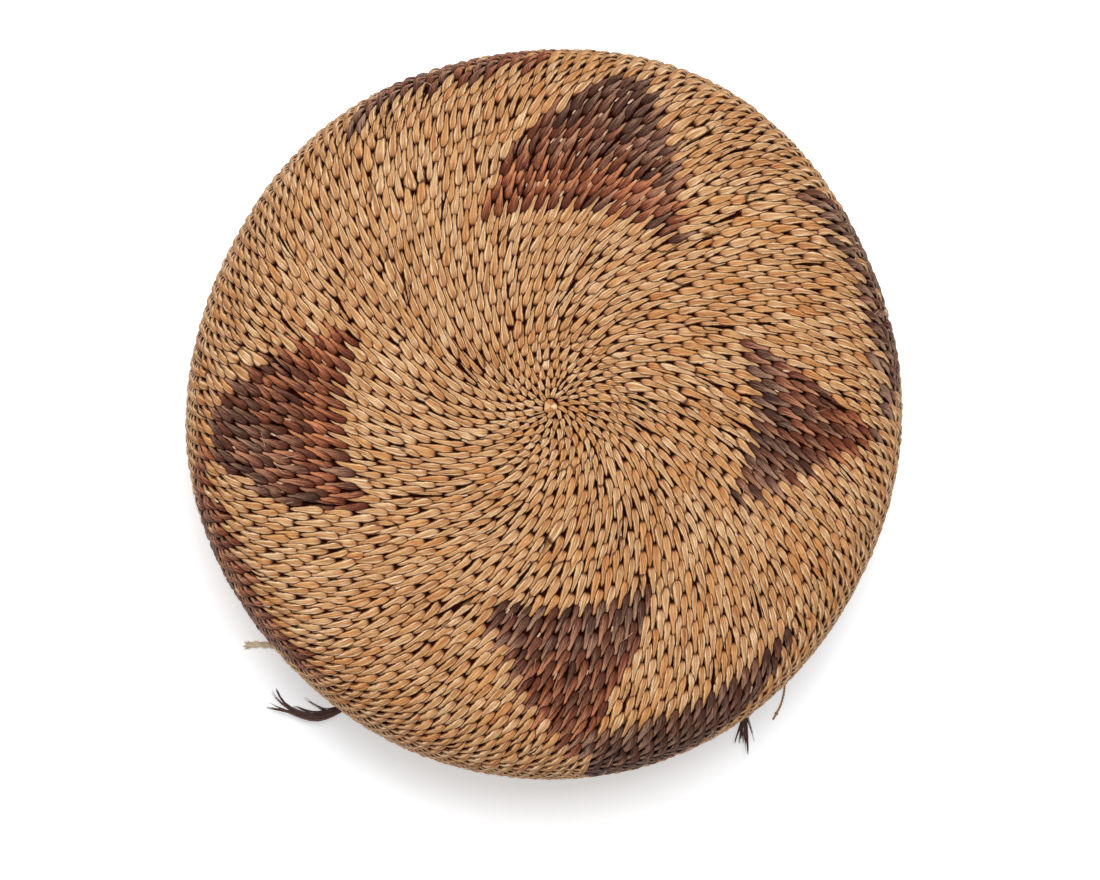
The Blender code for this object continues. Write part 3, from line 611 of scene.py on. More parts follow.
# Bare places are looked for beside these shares of a stitch's length, this far beyond its edge
FLANK_STEPS = np.array((0.2, 0.32, 0.44, 0.56, 0.68))
FLANK_OFFSET = 0.45 * MM
FLANK_LIFT = -0.3 * MM
FILLING_PASSES = 3
BARE_SHARE_LEFT = 0.2
FILL_WIDTH = 0.16
FILL_SHIFT = 0.22 * MM


def bare_flanks(values):
    """Share of bare places just beyond both edges of each stitch."""
    offset = values["width"] / 2 * np.interp(FLANK_STEPS, STITCH_STEPS, STITCH_WIDTHS).mean() + FLANK_OFFSET
    bare = []
    for side in (-1, 1):
        flank = dict(values, sideways=side * offset)
        _, along, azimuth, _ = stitch_points(flank, FLANK_STEPS, ())
        clear = height_over_others(values, values, along, azimuth, FLANK_LIFT)
        bare.append((clear >= MOST_CLEAR).mean(axis=(1, 2)))
    return bare


def fill_gaps(values):
    """Widen the stitches beside bare places and move them towards these."""
    for _ in range(FILLING_PASSES):
        low, high = bare_flanks(values)
        values["width"] *= 1 + FILL_WIDTH * np.maximum(low + high - BARE_SHARE_LEFT, 0)
        values["azimuth"] += FILL_SHIFT * (high - low) / profile(values["along"])[0]


def ring_quads(low, high, sides):
    """Corner numbers of the quads between pairs of rings, from the first number of each ring."""
    low, high = low[..., None], high[..., None]
    side = np.arange(sides)
    after = (side + 1) % sides
    return np.stack((low + side, low + after, high + after, high + side), -1).reshape(-1, 4)


def tube_faces(count, stations, sides):
    """Corner numbers of the quads and the end caps of many closed strands."""
    first = np.arange(count * stations).reshape(count, stations) * sides
    side = np.arange(sides)
    caps = np.concatenate((first[:, :1] + side[::-1], first[:, -1:] + side))
    return ring_quads(first[:, :-1], first[:, 1:], sides), caps


# Sheet of the baked looks, with a cell for each strand: cells in a row for one in a column,
# and the shares of a cell that the sides of a strand and its caps take up
CELLS_RATIO = 2.2
CELL_ACROSS = (0.07, 0.93)
CELL_UPWARD = (0.08, 0.92)
CAP_HEIGHTS = (0.035, 0.965)
CAP_SIZE = (0.25, 0.02)


def atlas(count, stations, sides):
    """Place of each corner in the sheet, for quads and caps."""
    columns = max(1, math.ceil(math.sqrt(count * CELLS_RATIO)))
    rows = math.ceil(count / columns)
    left = np.arange(count) % columns / columns
    low = np.arange(count) // columns / rows
    across = np.linspace(*CELL_ACROSS, sides + 1) / columns
    upward = np.linspace(*CELL_UPWARD, stations) / rows
    quads = np.empty((count, stations - 1, sides, 4, 2))
    for corner, (right, above) in enumerate(((0, 0), (1, 0), (1, 1), (0, 1))):
        quads[..., corner, 0] = left[:, None, None] + across[right:sides + right]
        quads[..., corner, 1] = (low[:, None] + upward[above:stations - 1 + above])[..., None]
    turn = around(sides)
    cap = np.stack((np.cos(turn) * CAP_SIZE[0] / columns, np.sin(turn) * CAP_SIZE[1] / rows), -1)
    middle = np.stack((left + 0.5 / columns, low), -1)[:, None]
    starts = middle + (0, CAP_HEIGHTS[0] / rows) + cap[::-1]
    ends = middle + (0, CAP_HEIGHTS[1] / rows) + cap
    return np.concatenate([places.reshape(-1, 2) for places in (quads, starts, ends)])


def add_object(name, data):
    """Object of the scene with given data."""
    item = bpy.data.objects.new(name, data)
    bpy.context.scene.collection.objects.link(item)
    return item


def fill(elements, key, array, kind=np.float32):
    """Set a property of all elements of a mesh."""
    elements.foreach_set(key, array.astype(kind).ravel())


def mesh_from(name, material, points, quads, caps=np.zeros((0, 0), int), attributes=None, bake_places=None):
    """Smooth mesh object out of arrays of points, quads, end caps and values of the points."""
    mesh = bpy.data.meshes.new(name)
    mesh.vertices.add(points.size // 3)
    fill(mesh.vertices, "co", points)
    corners = np.concatenate((quads.ravel(), caps.ravel()))
    mesh.loops.add(len(corners))
    fill(mesh.loops, "vertex_index", corners, np.int32)
    starts = np.concatenate((np.arange(len(quads)) * 4, quads.size + np.arange(len(caps)) * caps.shape[1]))
    mesh.polygons.add(len(starts))
    fill(mesh.polygons, "loop_start", starts, np.int32)
    mesh.update(calc_edges=True)
    mesh.shade_smooth()
    for key, array in (attributes or {}).items():
        layer = mesh.attributes.new(key, "FLOAT", "POINT")
        fill(layer.data, "value", np.broadcast_to(array, points.shape[:-1]))
    if bake_places is not None:
        layer = mesh.uv_layers.new(name="OFBake")
        fill(layer.data, "uv", bake_places)
    mesh.validate()
    mesh.materials.append(material)
    return add_object(name, mesh)


def dress(item, slot, *nodes, body="basket"):
    """Let a piece ride on a body and stand for solids; the slot is not used."""
    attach(item, body)
    if nodes:
        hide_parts(*nodes)


# Width of the dark outline of painted shade just inside the edges of a stitch, and its limit as a share of
# half the width
OUTLINE_WIDTH = 0.25 * MM
OUTLINE_SHARE = 0.35


def stitch_object(name, values, crowd, material, inside):
    """One piece made of many stitches."""
    steps, places = (INSIDE_STEPS, INSIDE_PLACES) if inside else (STITCH_STEPS, STITCH_PLACES)
    points, along, azimuth, lift = stitch_points(values, steps, places, inside)
    quads, caps = tube_faces(*lift.shape)
    half = (values["width"][:, None] / 2 * np.interp(steps, STITCH_STEPS, STITCH_WIDTHS))[..., None]
    from_edge = half * (1 - np.abs(np.append(places, 1.0)))
    attributes = {
        "across": np.append(places, 0.0),
        "length": steps[:, None],
        "inset": from_edge / np.minimum(OUTLINE_WIDTH, OUTLINE_SHARE * half),
        "clear": 1.0 if inside else height_over_others(values, crowd, along, azimuth, lift) / MM,
    }
    for key in ("tone", "warm", "seed"):
        attributes[key] = values[key][:, None, None]
    if inside:
        return mesh_from(name, material, points, quads[:, ::-1], caps[:, ::-1], attributes)
    return mesh_from(name, material, points, quads, caps, attributes, atlas(*lift.shape))


def srgb(*screen):
    """Linear colour of a screen colour given from 0 to 255."""
    linear = (((c / 255 + 0.055) / 1.055) ** 2.4 if c > 10 else c / 255 / 12.92 for c in screen)
    return (*linear, 1.0)


class Value:
    """Output of a shader node that can be reckoned with like a number."""

    def __init__(self, nodes, socket):
        self.nodes = nodes
        self.socket = socket

    def __add__(self, other):
        return self.nodes.math("ADD", self, other)

    def __sub__(self, other):
        return self.nodes.math("SUBTRACT", self, other)

    def __rsub__(self, other):
        return self.nodes.math("SUBTRACT", other, self)

    def __mul__(self, other):
        return self.nodes.math("MULTIPLY", self, other)

    def __abs__(self):
        return self.nodes.math("ABSOLUTE", self)

    def or_more(self, other):
        """The larger of two."""
        return self.nodes.math("MAXIMUM", self, other)

    def rise(self, start, end):
        """Share of the way from one value to another, kept from 0 to 1."""
        share = self.nodes.math("MULTIPLY_ADD", self, 1 / (end - start), start / (start - end))
        share.socket.node.use_clamp = True
        return share


class Nodes:
    """Short way to add and wire the shader nodes of a material or a world."""

    def __init__(self, owner, shader="Principled BSDF"):
        owner.use_nodes = True
        self.owner = owner
        self.tree = owner.node_tree
        self.shader = self.tree.nodes[shader]

    def feed(self, inputs, values):
        """Set inputs, by name or number, to numbers or screen colours, or link them to outputs."""
        for key, value in values.items():
            if isinstance(value, Value):
                self.tree.links.new(value.socket, inputs[key])
            else:
                inputs[key].default_value = srgb(*value) if isinstance(value, tuple) else value

    def finish(self, **inputs):
        """The owner, once inputs of its shader are fed; their names have _ for a space."""
        self.feed(self.shader.inputs, {name.replace("_", " "): value for name, value in inputs.items()})
        return self.owner

    def add(self, kind, output=0, inputs=None, **settings):
        """Output of a new node of a kind, with its properties set and its inputs fed."""
        node = self.tree.nodes.new(kind)
        for key, value in settings.items():
            setattr(node, key, value)
        self.feed(node.inputs, inputs or {})
        return Value(self, node.outputs[output])

    def attribute(self, name):
        """Value of a mesh attribute."""
        return self.add("ShaderNodeAttribute", "Fac", attribute_name=name)

    def math(self, operation, *operands):
        """Result of a sum of numbers or outputs."""
        return self.add("ShaderNodeMath", 0, dict(enumerate(operands)), operation=operation)

    def ramp(self, value, *stops):
        """Result of a colour ramp with given places and screen colours."""
        result = self.add("ShaderNodeValToRGB", 0, {0: value})
        elements = result.socket.node.color_ramp.elements
        while len(elements) < len(stops):
            elements.new(0.5)
        for element, (place, colour) in zip(elements, stops):
            element.position = place
            element.color = srgb(*colour)
        return result

    def mix(self, share, first, second):
        """Mix of two screen colours or outputs."""
        return self.add("ShaderNodeMix", 2, {0: share, 6: first, 7: second}, data_type="RGBA")

    def noise(self, places, scale, detail, roughness):
        """Noise at given places."""
        return self.add("ShaderNodeTexNoise", 0, {
            "Vector": places, "Scale": scale, "Detail": detail, "Roughness": roughness})

    def place_on_strand(self, across_scale, length_scale):
        """Coordinates that run along each strand and differ from one to the next."""
        seed = self.attribute("seed")
        across = self.attribute("across") * across_scale + seed * 71.0
        length = self.attribute("length") * length_scale + seed * 37.0
        return self.add("ShaderNodeCombineXYZ", 0, {0: across, 1: length, 2: seed * 13.0})

    def bumps(self, height, strength, distance):
        """Normals of a bumpy surface."""
        return self.add("ShaderNodeBump", 0, {"Height": height, "Strength": strength, "Distance": distance})


# Painted shade along a stitch, by share of its length: where each part of it begins and where it ends
HEAD_SHADE = (1 / 10.5, 0.0)
TAIL_SHADE = (0.9, 1.1)
RUDDY_HEAD_SHADE = (1 / 3.6, 0.0)
BESIDE_HEADS = 0.4
BESIDE_HEADS_REACH = 1 / 11
# Dark outline of painted shade, in its own widths: at the head, how much it narrows along, and how much wider
# beside heads
OUTLINE_AT_HEAD = 1.75
OUTLINE_NARROWING = 1.7
OUTLINE_BESIDE_HEADS = 0.7
OUTLINE_FADE = (0.0, 1 / 1.5)
OUTLINE_DARKNESS = 0.9
# Painted shade in the creases: heights over the stitch beneath, in mm, and how much it fades along a stitch
CREASE = (0.4, 0.16)
CREASE_FADING = 0.5
# Painted highlight: paler lines inside both edges of a stitch, as shares of half its width
HIGHLIGHT_LINE = 0.5
HIGHLIGHT_LINE_REACH = 1 / 6


def strand_painted_shade(nodes):
    """Share of painted shade at the ends, edges and creases of each stitch, and of the ruddy painted shade
    behind its head.
    """
    length = nodes.attribute("length")
    beside_heads = abs(length - BESIDE_HEADS).rise(BESIDE_HEADS_REACH, 0)
    outline = OUTLINE_AT_HEAD - length * OUTLINE_NARROWING + beside_heads * OUTLINE_BESIDE_HEADS
    edge = (outline - nodes.attribute("inset")).rise(*OUTLINE_FADE) * OUTLINE_DARKNESS
    crease = nodes.attribute("clear").rise(*CREASE) * (1.0 - length * CREASE_FADING)
    ends = length.rise(*HEAD_SHADE).or_more(length.rise(*TAIL_SHADE))
    return ends.or_more(edge.or_more(crease)), length.rise(*RUDDY_HEAD_SHADE)


def fibre_material(name, specular, make_colour, ruddy_shade_mix, shade_mix):
    """Fibre with streaks along each stitch, with painted shade: ruddy behind its head and dark in its
    creases, along its edges and at its ends.
    """
    nodes = Nodes(bpy.data.materials.new(name))
    streak = nodes.noise(nodes.place_on_strand(3.4, 0.8), 2.4, 5.0, 0.72)
    colour = make_colour(nodes, streak)
    painted_shade, ruddy_shade = strand_painted_shade(nodes)
    for share, (most, shade) in ((ruddy_shade, ruddy_shade_mix), (painted_shade, shade_mix)):
        colour = nodes.mix(share * most, colour, shade)
    bumps = nodes.bumps(streak, 0.6, 0.14 * MM)
    return nodes.finish(Base_Color=colour, Roughness=0.6, Specular_IOR_Level=specular, Normal=bumps)


def natural_colour(nodes, streak):
    """Tan to cream, golden in some stitches, with paler lines inside the edges as a painted highlight."""
    highlight_line = abs(abs(nodes.attribute("across")) - HIGHLIGHT_LINE).rise(HIGHLIGHT_LINE_REACH, 0)
    tone = nodes.attribute("tone") * 0.26 + streak * 3.0 + highlight_line * 0.5
    tone = tone.rise(1.22, 2.22)
    plain = nodes.ramp(
        tone, (0.0, (136, 78, 40)), (0.35, (192, 138, 88)), (0.65, (221, 173, 122)), (0.95, (255, 228, 190)))
    golden = nodes.ramp(tone, (0.0, (150, 78, 36)), (0.4, (200, 134, 78)), (1.0, (240, 194, 136)))
    return nodes.mix(nodes.attribute("warm").rise(0.5, 0.5 + 1 / 2.2), plain, golden)


def dark_colour(nodes, streak):
    """Grey brown to red brown, with lighter worn streaks; painted shade darkens each stitch towards its head
    and a painted highlight lightens it towards its tail.
    """
    tone = nodes.attribute("tone") * 0.4 + streak * 2.9 + nodes.attribute("length") * 0.75
    tone = tone.rise(1.47, 2.47)
    grey = nodes.ramp(tone, (0.0, (36, 23, 18)), (0.5, (90, 60, 48)), (1.0, (196, 153, 126)))
    red = nodes.ramp(tone, (0.0, (72, 32, 17)), (0.5, (128, 66, 44)), (1.0, (226, 150, 104)))
    return nodes.mix(nodes.attribute("warm"), grey, red)


def cotton_material():
    """Handled string, tan to cream with fine fibres along each ply."""
    nodes = Nodes(bpy.data.materials.new("cotton_string"))
    fibres = nodes.noise(nodes.place_on_strand(2.0, 40.0), 3.0, 4.0, 0.65)
    colour = nodes.ramp(
        nodes.attribute("tone") * 0.6 + fibres * 0.5,
        (0.15, (146, 90, 48)), (0.45, (196, 150, 98)), (0.7, (230, 200, 154)), (0.95, (255, 236, 204)))
    return nodes.finish(Base_Color=colour, Roughness=0.85, Normal=nodes.bumps(fibres, 0.6, 0.08 * MM))


def feather_material():
    """Dark brown to black feather with a little gloss."""
    nodes = Nodes(bpy.data.materials.new("feather"))
    grain = nodes.noise(nodes.place_on_strand(1.5, 3.0), 3.0, 3.0, 0.5)
    share = (nodes.attribute("tone") + grain) * 0.5
    colour = nodes.ramp(share, (0.25, (40, 18, 10)), (0.55, (74, 38, 22)), (0.85, (140, 90, 56)))
    return nodes.finish(Base_Color=colour, Roughness=0.42)


def plain_material(name, dark, light, roughness, scale, specular=0.5):
    """Material of two colours mixed by a noise in the object's space."""
    nodes = Nodes(bpy.data.materials.new(name))
    grain = nodes.noise(nodes.add("ShaderNodeTexCoord", "Object"), scale, 4.0, 0.6)
    colour = nodes.ramp(grain, (0.3, dark), (0.7, light))
    bumps = nodes.bumps(grain, 0.4, 0.1 * MM)
    return nodes.finish(Base_Color=colour, Roughness=roughness, Specular_IOR_Level=specular, Normal=bumps)


# Foundation under the stitches, coloured near black as painted shade in the gaps between them
CORE_COLUMNS = 180
CORE_RINGS_IN_A_ROW = 4
CORE_DEPTH = 1.15 * MM
CORE_GROOVE = 0.3 * MM
CORE_MARGIN = 1.2 * MM


def make_core(material):
    """Ridged foundation under the stitches, outside and inside, closed at the rim; its near black colour is
    painted shade for the gaps.
    """
    azimuth = around(CORE_COLUMNS)
    row = np.arange((ROWS - 1) * CORE_RINGS_IN_A_ROW + 1)[:, None] / CORE_RINGS_IN_A_ROW
    wound = azimuth / WHOLE_TURN
    sway = row_sway(np.maximum(row - COIL_PHASE, 0) + wound)
    along = np.minimum(ROW_STEP * row, PROFILE_LENGTH - CORE_MARGIN)
    phase = along / ROW_STEP - COIL_PHASE - wound - sway
    depth = CORE_DEPTH + CORE_GROOVE * np.sin(math.pi * phase) ** 2
    inner = surface(along, azimuth, depth - WALL_THICKNESS)
    points = np.concatenate((surface(along, azimuth, -depth), inner[::-1]))
    first = np.arange(len(points)) * CORE_COLUMNS
    quads = ring_quads(first[:-1], first[1:], CORE_COLUMNS)
    dress(mesh_from("core_painted_shade", material, points, quads[:, [0, 3, 2, 1]]), "natural_fibre")


def strands_object(name, material, paths, radii, sides, tones=(0.0, 1.0)):
    """One piece made of many thin closed strands, each of a tone between two."""
    paths = np.asarray(paths)
    count, stations, _ = paths.shape
    across, upward = frame_along(paths)
    turn = around(sides)
    ring = across[:, :, None] * np.cos(turn)[:, None] + upward[:, :, None] * np.sin(turn)[:, None]
    points = paths[:, :, None] + ring * np.broadcast_to(radii, (count, stations))[..., None, None]
    each = (count, 1, 1)
    seed = random.random(each)
    attributes = {
        "across": np.cos(turn),
        "length": np.linspace(0, 1, stations)[:, None],
        "tone": random.uniform(*tones, each),
        "warm": random.random(each),
        "seed": seed,
    }
    return mesh_from(name, material, points, *tube_faces(count, stations, sides), attributes)


def frame_along(paths):
    """Directions sideways and upward at each point of one path or many."""
    ahead = np.gradient(paths, axis=-2)
    ahead /= np.linalg.norm(ahead, axis=-1, keepdims=True)
    upright = np.abs(ahead[..., 2:]) > 0.95
    across = np.cross(np.where(upright, (1.0, 0.0, 0.0), (0.0, 0.0, 1.0)), ahead)
    across /= np.linalg.norm(across, axis=-1, keepdims=True)
    return across, np.cross(ahead, across)


def box_centre(node):
    """Middle of a solid."""
    low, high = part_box(node)
    return (low + high) / 2


def azimuth_of(point):
    """Azimuth of a point."""
    return math.atan2(point.y, point.x)


# Photograph: its size, the pixel of the basket's axis at the belly, and the scale there
PHOTO_WIDTH = 1100
PHOTO_HEIGHT = 880
AXIS_PIXEL = (546.35, 412.4)
MM_PER_PIXEL = 0.2225 * MM
CAMERA_DISTANCE = 950.0 * MM
CAMERA_TILT = math.radians(5.0)
CAMERA_AZIMUTH = math.radians(213.6)
SENSOR_WIDTH = 36.0
FAR_CLIP = 20.0


def view_axes():
    """Directions to the right, up and towards the camera, and the camera's place."""
    belly = BASE_LENGTH + SHOULDER_LENGTH + (math.pi / 2 - WALL_TOP_LEAN) * WALL_BEND_RADIUS
    target = Vector((0.0, 0.0, HEIGHT - float(profile(belly)[1])))
    level = math.sin(CAMERA_TILT)
    sideways = (level * math.cos(CAMERA_AZIMUTH), level * math.sin(CAMERA_AZIMUTH))
    toward = Vector((*sideways, math.cos(CAMERA_TILT)))
    upward = Vector((0.0, 1.0, 0.0))
    upward = (upward - toward * upward.dot(toward)).normalized()
    return upward.cross(toward), upward, toward, target + toward * CAMERA_DISTANCE


def from_photo(pixel, height):
    """Point at a height that the photograph shows at a pixel."""
    across, upward, toward, place = view_axes()
    pixels = CAMERA_DISTANCE / MM_PER_PIXEL
    ray = across * (pixel[0] - AXIS_PIXEL[0]) + upward * (AXIS_PIXEL[1] - pixel[1]) - toward * pixels
    return place + ray * ((height - place.z) / ray.z)


# Bands of rows that the solids are divided into, each from its first row
BANDS = {"start_knot": 0, "base_coils": 2, "base_field": 15, "shoulder_field": 26, "mouth_field": 36}
MOST_STITCHES_IN_A_PIECE = 1150
INSIDE_PIECE_SHARE = 2.5


def make_stitches(natural, dark):
    """All the stitches, in pieces that stand for the solids of the wall."""
    crowd = stitch_values(place_stitches())
    crowd["motif"] = motif_of(crowd)
    paint_stitches(crowd)
    blend_band(crowd)
    fill_gaps(crowd)
    pale = plain_material("pale_splint", (184, 140, 104), (232, 204, 172), 0.8, 900.0)
    make_glimpses(crowd, pale)
    make_fibres(crowd, pale)
    outside = split_some(crowd)
    row = outside["along"] / ROW_STEP
    ends = [*BANDS.values(), ROWS][1:]
    for inside in ((False, True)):
        for (node, low), high in zip(BANDS.items(), ends):
            band = (outside["motif"] < 0) & (row >= low) & (row < high)
            add_stitches(node, choose(outside, band), crowd, natural, "natural_fibre", inside)
        for number, node in enumerate(MOTIF_NODES):
            add_stitches(node, choose(outside, outside["motif"] == number), crowd, dark, "dark_fibre", inside)


def add_stitches(node, values, crowd, material, slot, inside):
    """Pieces of stitches for one solid, none with too many."""
    most = MOST_STITCHES_IN_A_PIECE * (INSIDE_PIECE_SHARE if inside else 1)
    parts = math.ceil(len(values["turn"]) / most)
    order = np.argsort(values["turn"], kind="stable")
    suffix = "inside" if inside else "stitches"
    for part in range(parts):
        name = f"{node}_{suffix}" if parts == 1 else f"{node}_{suffix}_{part + 1}"
        chosen = choose(values, np.array_split(order, parts)[part])
        dress(stitch_object(name, chosen, crowd, material, inside), slot, node)


# Share of stitches with a pale bit of the foundation behind the head
GLIMPSES = {
    "base_motif_back": 0.45, "base_motif_left": 0.14, "base_motif_right": 0.08, "base_motif_front": 0.12}
GLIMPSES_IN_DARK = 0.03
GLIMPSES_IN_FIELD = 0.015
GLIMPSES_FROM = 8.0 * MM


def make_glimpses(crowd, material):
    """Pale bits of the foundation that show behind the heads of some stitches."""
    share = np.where(crowd["motif"] < 0, GLIMPSES_IN_FIELD, GLIMPSES_IN_DARK)
    for node, own_share in GLIMPSES.items():
        share[crowd["motif"] == MOTIF_NODES.index(node)] = own_share
    shown = (random.random(len(share)) < share) & (crowd["along"] > GLIMPSES_FROM)
    chosen = columns(choose(crowd, shown))
    many = chosen["along"].shape
    back = (chosen["start"] + random.uniform(-0.1, 0.05, many)) * chosen["step"]
    line = back + np.linspace(-1, 1, 5) * random.uniform(0.4, 0.8, many) * MM
    along = np.minimum(chosen["along"] + line, PROFILE_LENGTH - ROW_STEP)
    beside = random.choice((-1, 1), many) * random.uniform(0.35, 0.6, many) * chosen["width"] / 2
    azimuth = chosen["azimuth"] + (beside - chosen["slope_in"] * line) / profile(along)[0]
    paths = surface(along, azimuth, random.normal(-0.5, 0.08, many) * MM)
    radii = random.uniform(0.18, 0.3, many) * MM * np.array((0.6, 1.0, 1.0, 1.0, 0.6))
    dress(strands_object("foundation_glimpses", material, paths, radii, 5), "natural_fibre")


# Frayed slivers: how many, how much likelier near the edges of the triangles, and in which turns
FIBRES = 110
FIBRES_NEAR_EDGES = 9.0
EDGE_WINDOW = 5
FIBRES_BEFORE = 34


def make_fibres(crowd, material):
    """Fine frayed slivers that stand off the stitches, most of them about the dark triangles."""
    changes = np.append(np.diff(crowd["motif"]) != 0, False)
    near = np.convolve(changes, np.ones(EDGE_WINDOW), "same") > 0
    weight = np.where(near, FIBRES_NEAR_EDGES, 1.0) * (crowd["turn"] < FIBRES_BEFORE)
    numbers = random.choice(len(near), FIBRES, replace=False, p=weight / weight.sum())
    chosen = columns(choose(crowd, numbers))
    many = (FIBRES, 1)
    share = np.linspace(0, 1, 9)
    length = random.uniform(1.6, 4.2, many) * MM
    angle = np.arctan(chosen["slope"]) + random.normal(0, 0.45, many)
    curl = random.normal(0, 0.8, many) * MM
    along = chosen["along"] + length * share * np.cos(angle)
    sideways = curl * share ** 2 - length * share * np.sin(angle)
    azimuth = chosen["azimuth"] + sideways / profile(along)[0]
    lift = random.uniform(0.1, 0.5, many) * MM * np.sin(math.pi * share * 0.8) - 0.05 * MM
    radii = random.uniform(0.05, 0.1, many) * MM * (1 - 0.7 * share)
    paths = surface(along, azimuth, lift)
    dress(strands_object("frayed_fibres", material, paths, radii, 4), "natural_fibre")


# Wrapping of the rim: strands, stations round each, how much they differ, and their slant
RIM_STRANDS = 260
RIM_STATIONS = 26
RIM_SPREAD = 0.0015
RIM_SWELL_SPREAD = 0.02
RIM_WIDTH_SPREAD = 0.08
RIM_SLANT = 0.016
RIM_SLANT_PHASE = 0.6
RIM_STRAND_HALF = 0.88 * MM
# Outline widths from the middle of a rim strand to its edges, which set the painted shade along them
RIM_INSET = 3.5
# How far the middle of a strand runs inside the solid, outward and downward
RIM_SINK = (0.35 * MM, 0.3 * MM)
# Section of a strand: places across and heights
RIM_PLACES = np.array((-1.0, -0.6, 0.0, 0.6, 1.0, 0.0))
RIM_HEIGHTS = np.array((0.0, 0.28, 0.38, 0.28, 0.0, -0.1)) * MM


def make_rim(material):
    """Wrapping of the rim coil."""
    along = PROFILE_LENGTH - ROW_STEP / 2
    lean = profile(along)[2]
    turn = np.linspace(0, WHOLE_TURN, RIM_STATIONS)
    first = around(RIM_STRANDS) + random.normal(0, RIM_SPREAD, RIM_STRANDS)
    azimuth = first[:, None] + RIM_SLANT * np.cos(turn - RIM_SLANT_PHASE)
    level = np.stack((np.cos(azimuth), np.sin(azimuth), np.zeros(azimuth.shape)), -1)
    upright = np.array((0.0, 0.0, 1.0))
    outward = level * np.sin(lean) + upright * np.cos(lean)
    downward = level * np.cos(lean) - upright * np.sin(lean)
    swell = random.normal(1, RIM_SWELL_SPREAD, (RIM_STRANDS, 1))
    reach_out = (RIM_HALF_WIDTH - RIM_SINK[0]) * swell * np.cos(turn)
    reach_down = (RIM_HALF_LENGTH - RIM_SINK[1]) * swell * np.sin(turn)
    centre = surface(along, azimuth, -WALL_THICKNESS / 2)
    paths = centre + outward * reach_out[..., None] + downward * reach_down[..., None]
    normal = outward * np.cos(turn)[:, None] + downward * np.sin(turn)[:, None]
    half = RIM_STRAND_HALF * random.normal(1, RIM_WIDTH_SPREAD, (RIM_STRANDS, 1, 1, 1))
    across = np.cross(upright, level)[:, :, None] * RIM_PLACES[:, None] * half
    points = paths[:, :, None] + across + normal[:, :, None] * RIM_HEIGHTS[:, None]
    points[..., 2] = np.maximum(points[..., 2], FLOOR_GAP)
    attributes = {
        "across": RIM_PLACES,
        "length": np.linspace(0.2, 0.8, RIM_STATIONS)[:, None],
        "inset": (1 - np.abs(RIM_PLACES)) * RIM_INSET,
        "clear": 1.0,
    }
    for key in ("tone", "warm", "seed"):
        attributes[key] = random.random((RIM_STRANDS, 1, 1))
    faces = tube_faces(*points.shape[:3])
    dress(mesh_from("rim_wrapping", material, points, *faces, attributes), "natural_fibre", "rim_coil")


# Start of the coil: a knob beside a hollow, as a pixel of the photograph
KNOB_PIXEL = (550.4, 406.4)
KNOB_RADIUS = 1.42 * MM
KNOB_RISE = 0.75 * MM
KNOB_SINK = 0.45
KNOB_STRETCH = 1.1
KNOB_RINGS = 7
KNOB_SIDES = 20
# Waves of its outline: size, waves and phase
KNOB_LUMPS = ((0.07, 3, 0.5), (0.05, 5, 0.0))
KNOB_LOOK = {"tone": 0.25, "warm": 0.7, "seed": 0.4, "inset": 2.0, "clear": 1.0}


def make_knob(material):
    """Rounded end of the first strands, beside the hollow that the coil starts from."""
    middle = from_photo(KNOB_PIXEL, HEIGHT)
    tilt = np.linspace(0.02, math.pi * 0.62, KNOB_RINGS)[:, None]
    turn = around(KNOB_SIDES)
    lumps = 1 + sum(size * np.cos(waves * turn + phase) for size, waves, phase in KNOB_LUMPS)
    radius = KNOB_RADIUS * np.sin(tilt) * lumps
    height = np.broadcast_to(HEIGHT + KNOB_RISE * (np.cos(tilt) - KNOB_SINK), radius.shape)
    sides = (middle.x + radius * np.cos(turn), middle.y + radius * KNOB_STRETCH * np.sin(turn), height)
    quads, caps = tube_faces(1, KNOB_RINGS, KNOB_SIDES)
    length = np.linspace(0.4, 0.8, KNOB_RINGS)[:, None]
    attributes = {"across": 0.5 * np.cos(turn), "length": length, **KNOB_LOOK}
    knob = mesh_from("start_knob", material, np.stack(sides, -1), quads[:, ::-1], caps[:, ::-1], attributes)
    dress(knob, "natural_fibre", "start_knot")


def length_gone(path):
    """How far along a path each of its points lies."""
    return np.concatenate(((0,), np.cumsum(np.linalg.norm(np.diff(path, axis=0), axis=1))))


def read_off(wanted, places, path):
    """Points of a path at wanted places, from the places of its points."""
    return np.stack([np.interp(wanted, places, path[:, axis]) for axis in range(3)], -1)


def smooth_path(points, count, steps=12):
    """Evenly spread points of a smooth curve through given points."""
    points = np.array([tuple(point) for point in points], float)
    padded = np.concatenate((2 * points[:1] - points[1:2], points, 2 * points[-1:] - points[-2:-1]))
    share = np.linspace(0, 1, steps, endpoint=False)[:, None]
    fine = []
    for a, b, c, d in zip(padded, padded[1:], padded[2:], padded[3:]):
        square = (2 * a - 5 * b + 4 * c - d) * share ** 2
        cube = (3 * b - a - 3 * c + d) * share ** 3
        fine.append(0.5 * (2 * b + (c - a) * share + square + cube))
    fine = np.concatenate((*fine, points[-1:]))
    gone = length_gone(fine)
    return read_off(np.linspace(0, gone[-1], count), gone, fine)


def twisted(path, apart, twist):
    """Paths of two plies twisted about a path."""
    across, upward = frame_along(path)
    turn = WHOLE_TURN * (length_gone(path) / twist + np.array((0, 0.5))[:, None])[..., None]
    return path + apart * (across * np.cos(turn) + upward * np.sin(turn))


# Beads, strings, knots and ties
BEAD_NODES = [f"shell_bead_{number:02d}" for number in range(1, 25)]
BEAD_RADIUS = 2.0 * MM
BEAD_HALF = 0.8 * MM
BEAD_BORE = 0.62 * MM
BEAD_SIDES = 28
BEAD_SHARP_ANGLE = math.radians(40)
# Section of a bead: place along the bore, and share of the way from the bore to the edge
BEAD_SECTION = (
    (-1.0, 0.0), (-0.97, 0.7), (-0.75, 0.94), (-0.3, 1.0), (0.3, 1.0), (0.75, 0.94), (0.97, 0.7), (1.0, 0.0))
PLY_RADIUS = 0.25 * MM
PLY_TWIST = 2.4 * MM
STRING_RADIUS = 0.45 * MM
STRING_STEP = 0.3 * MM
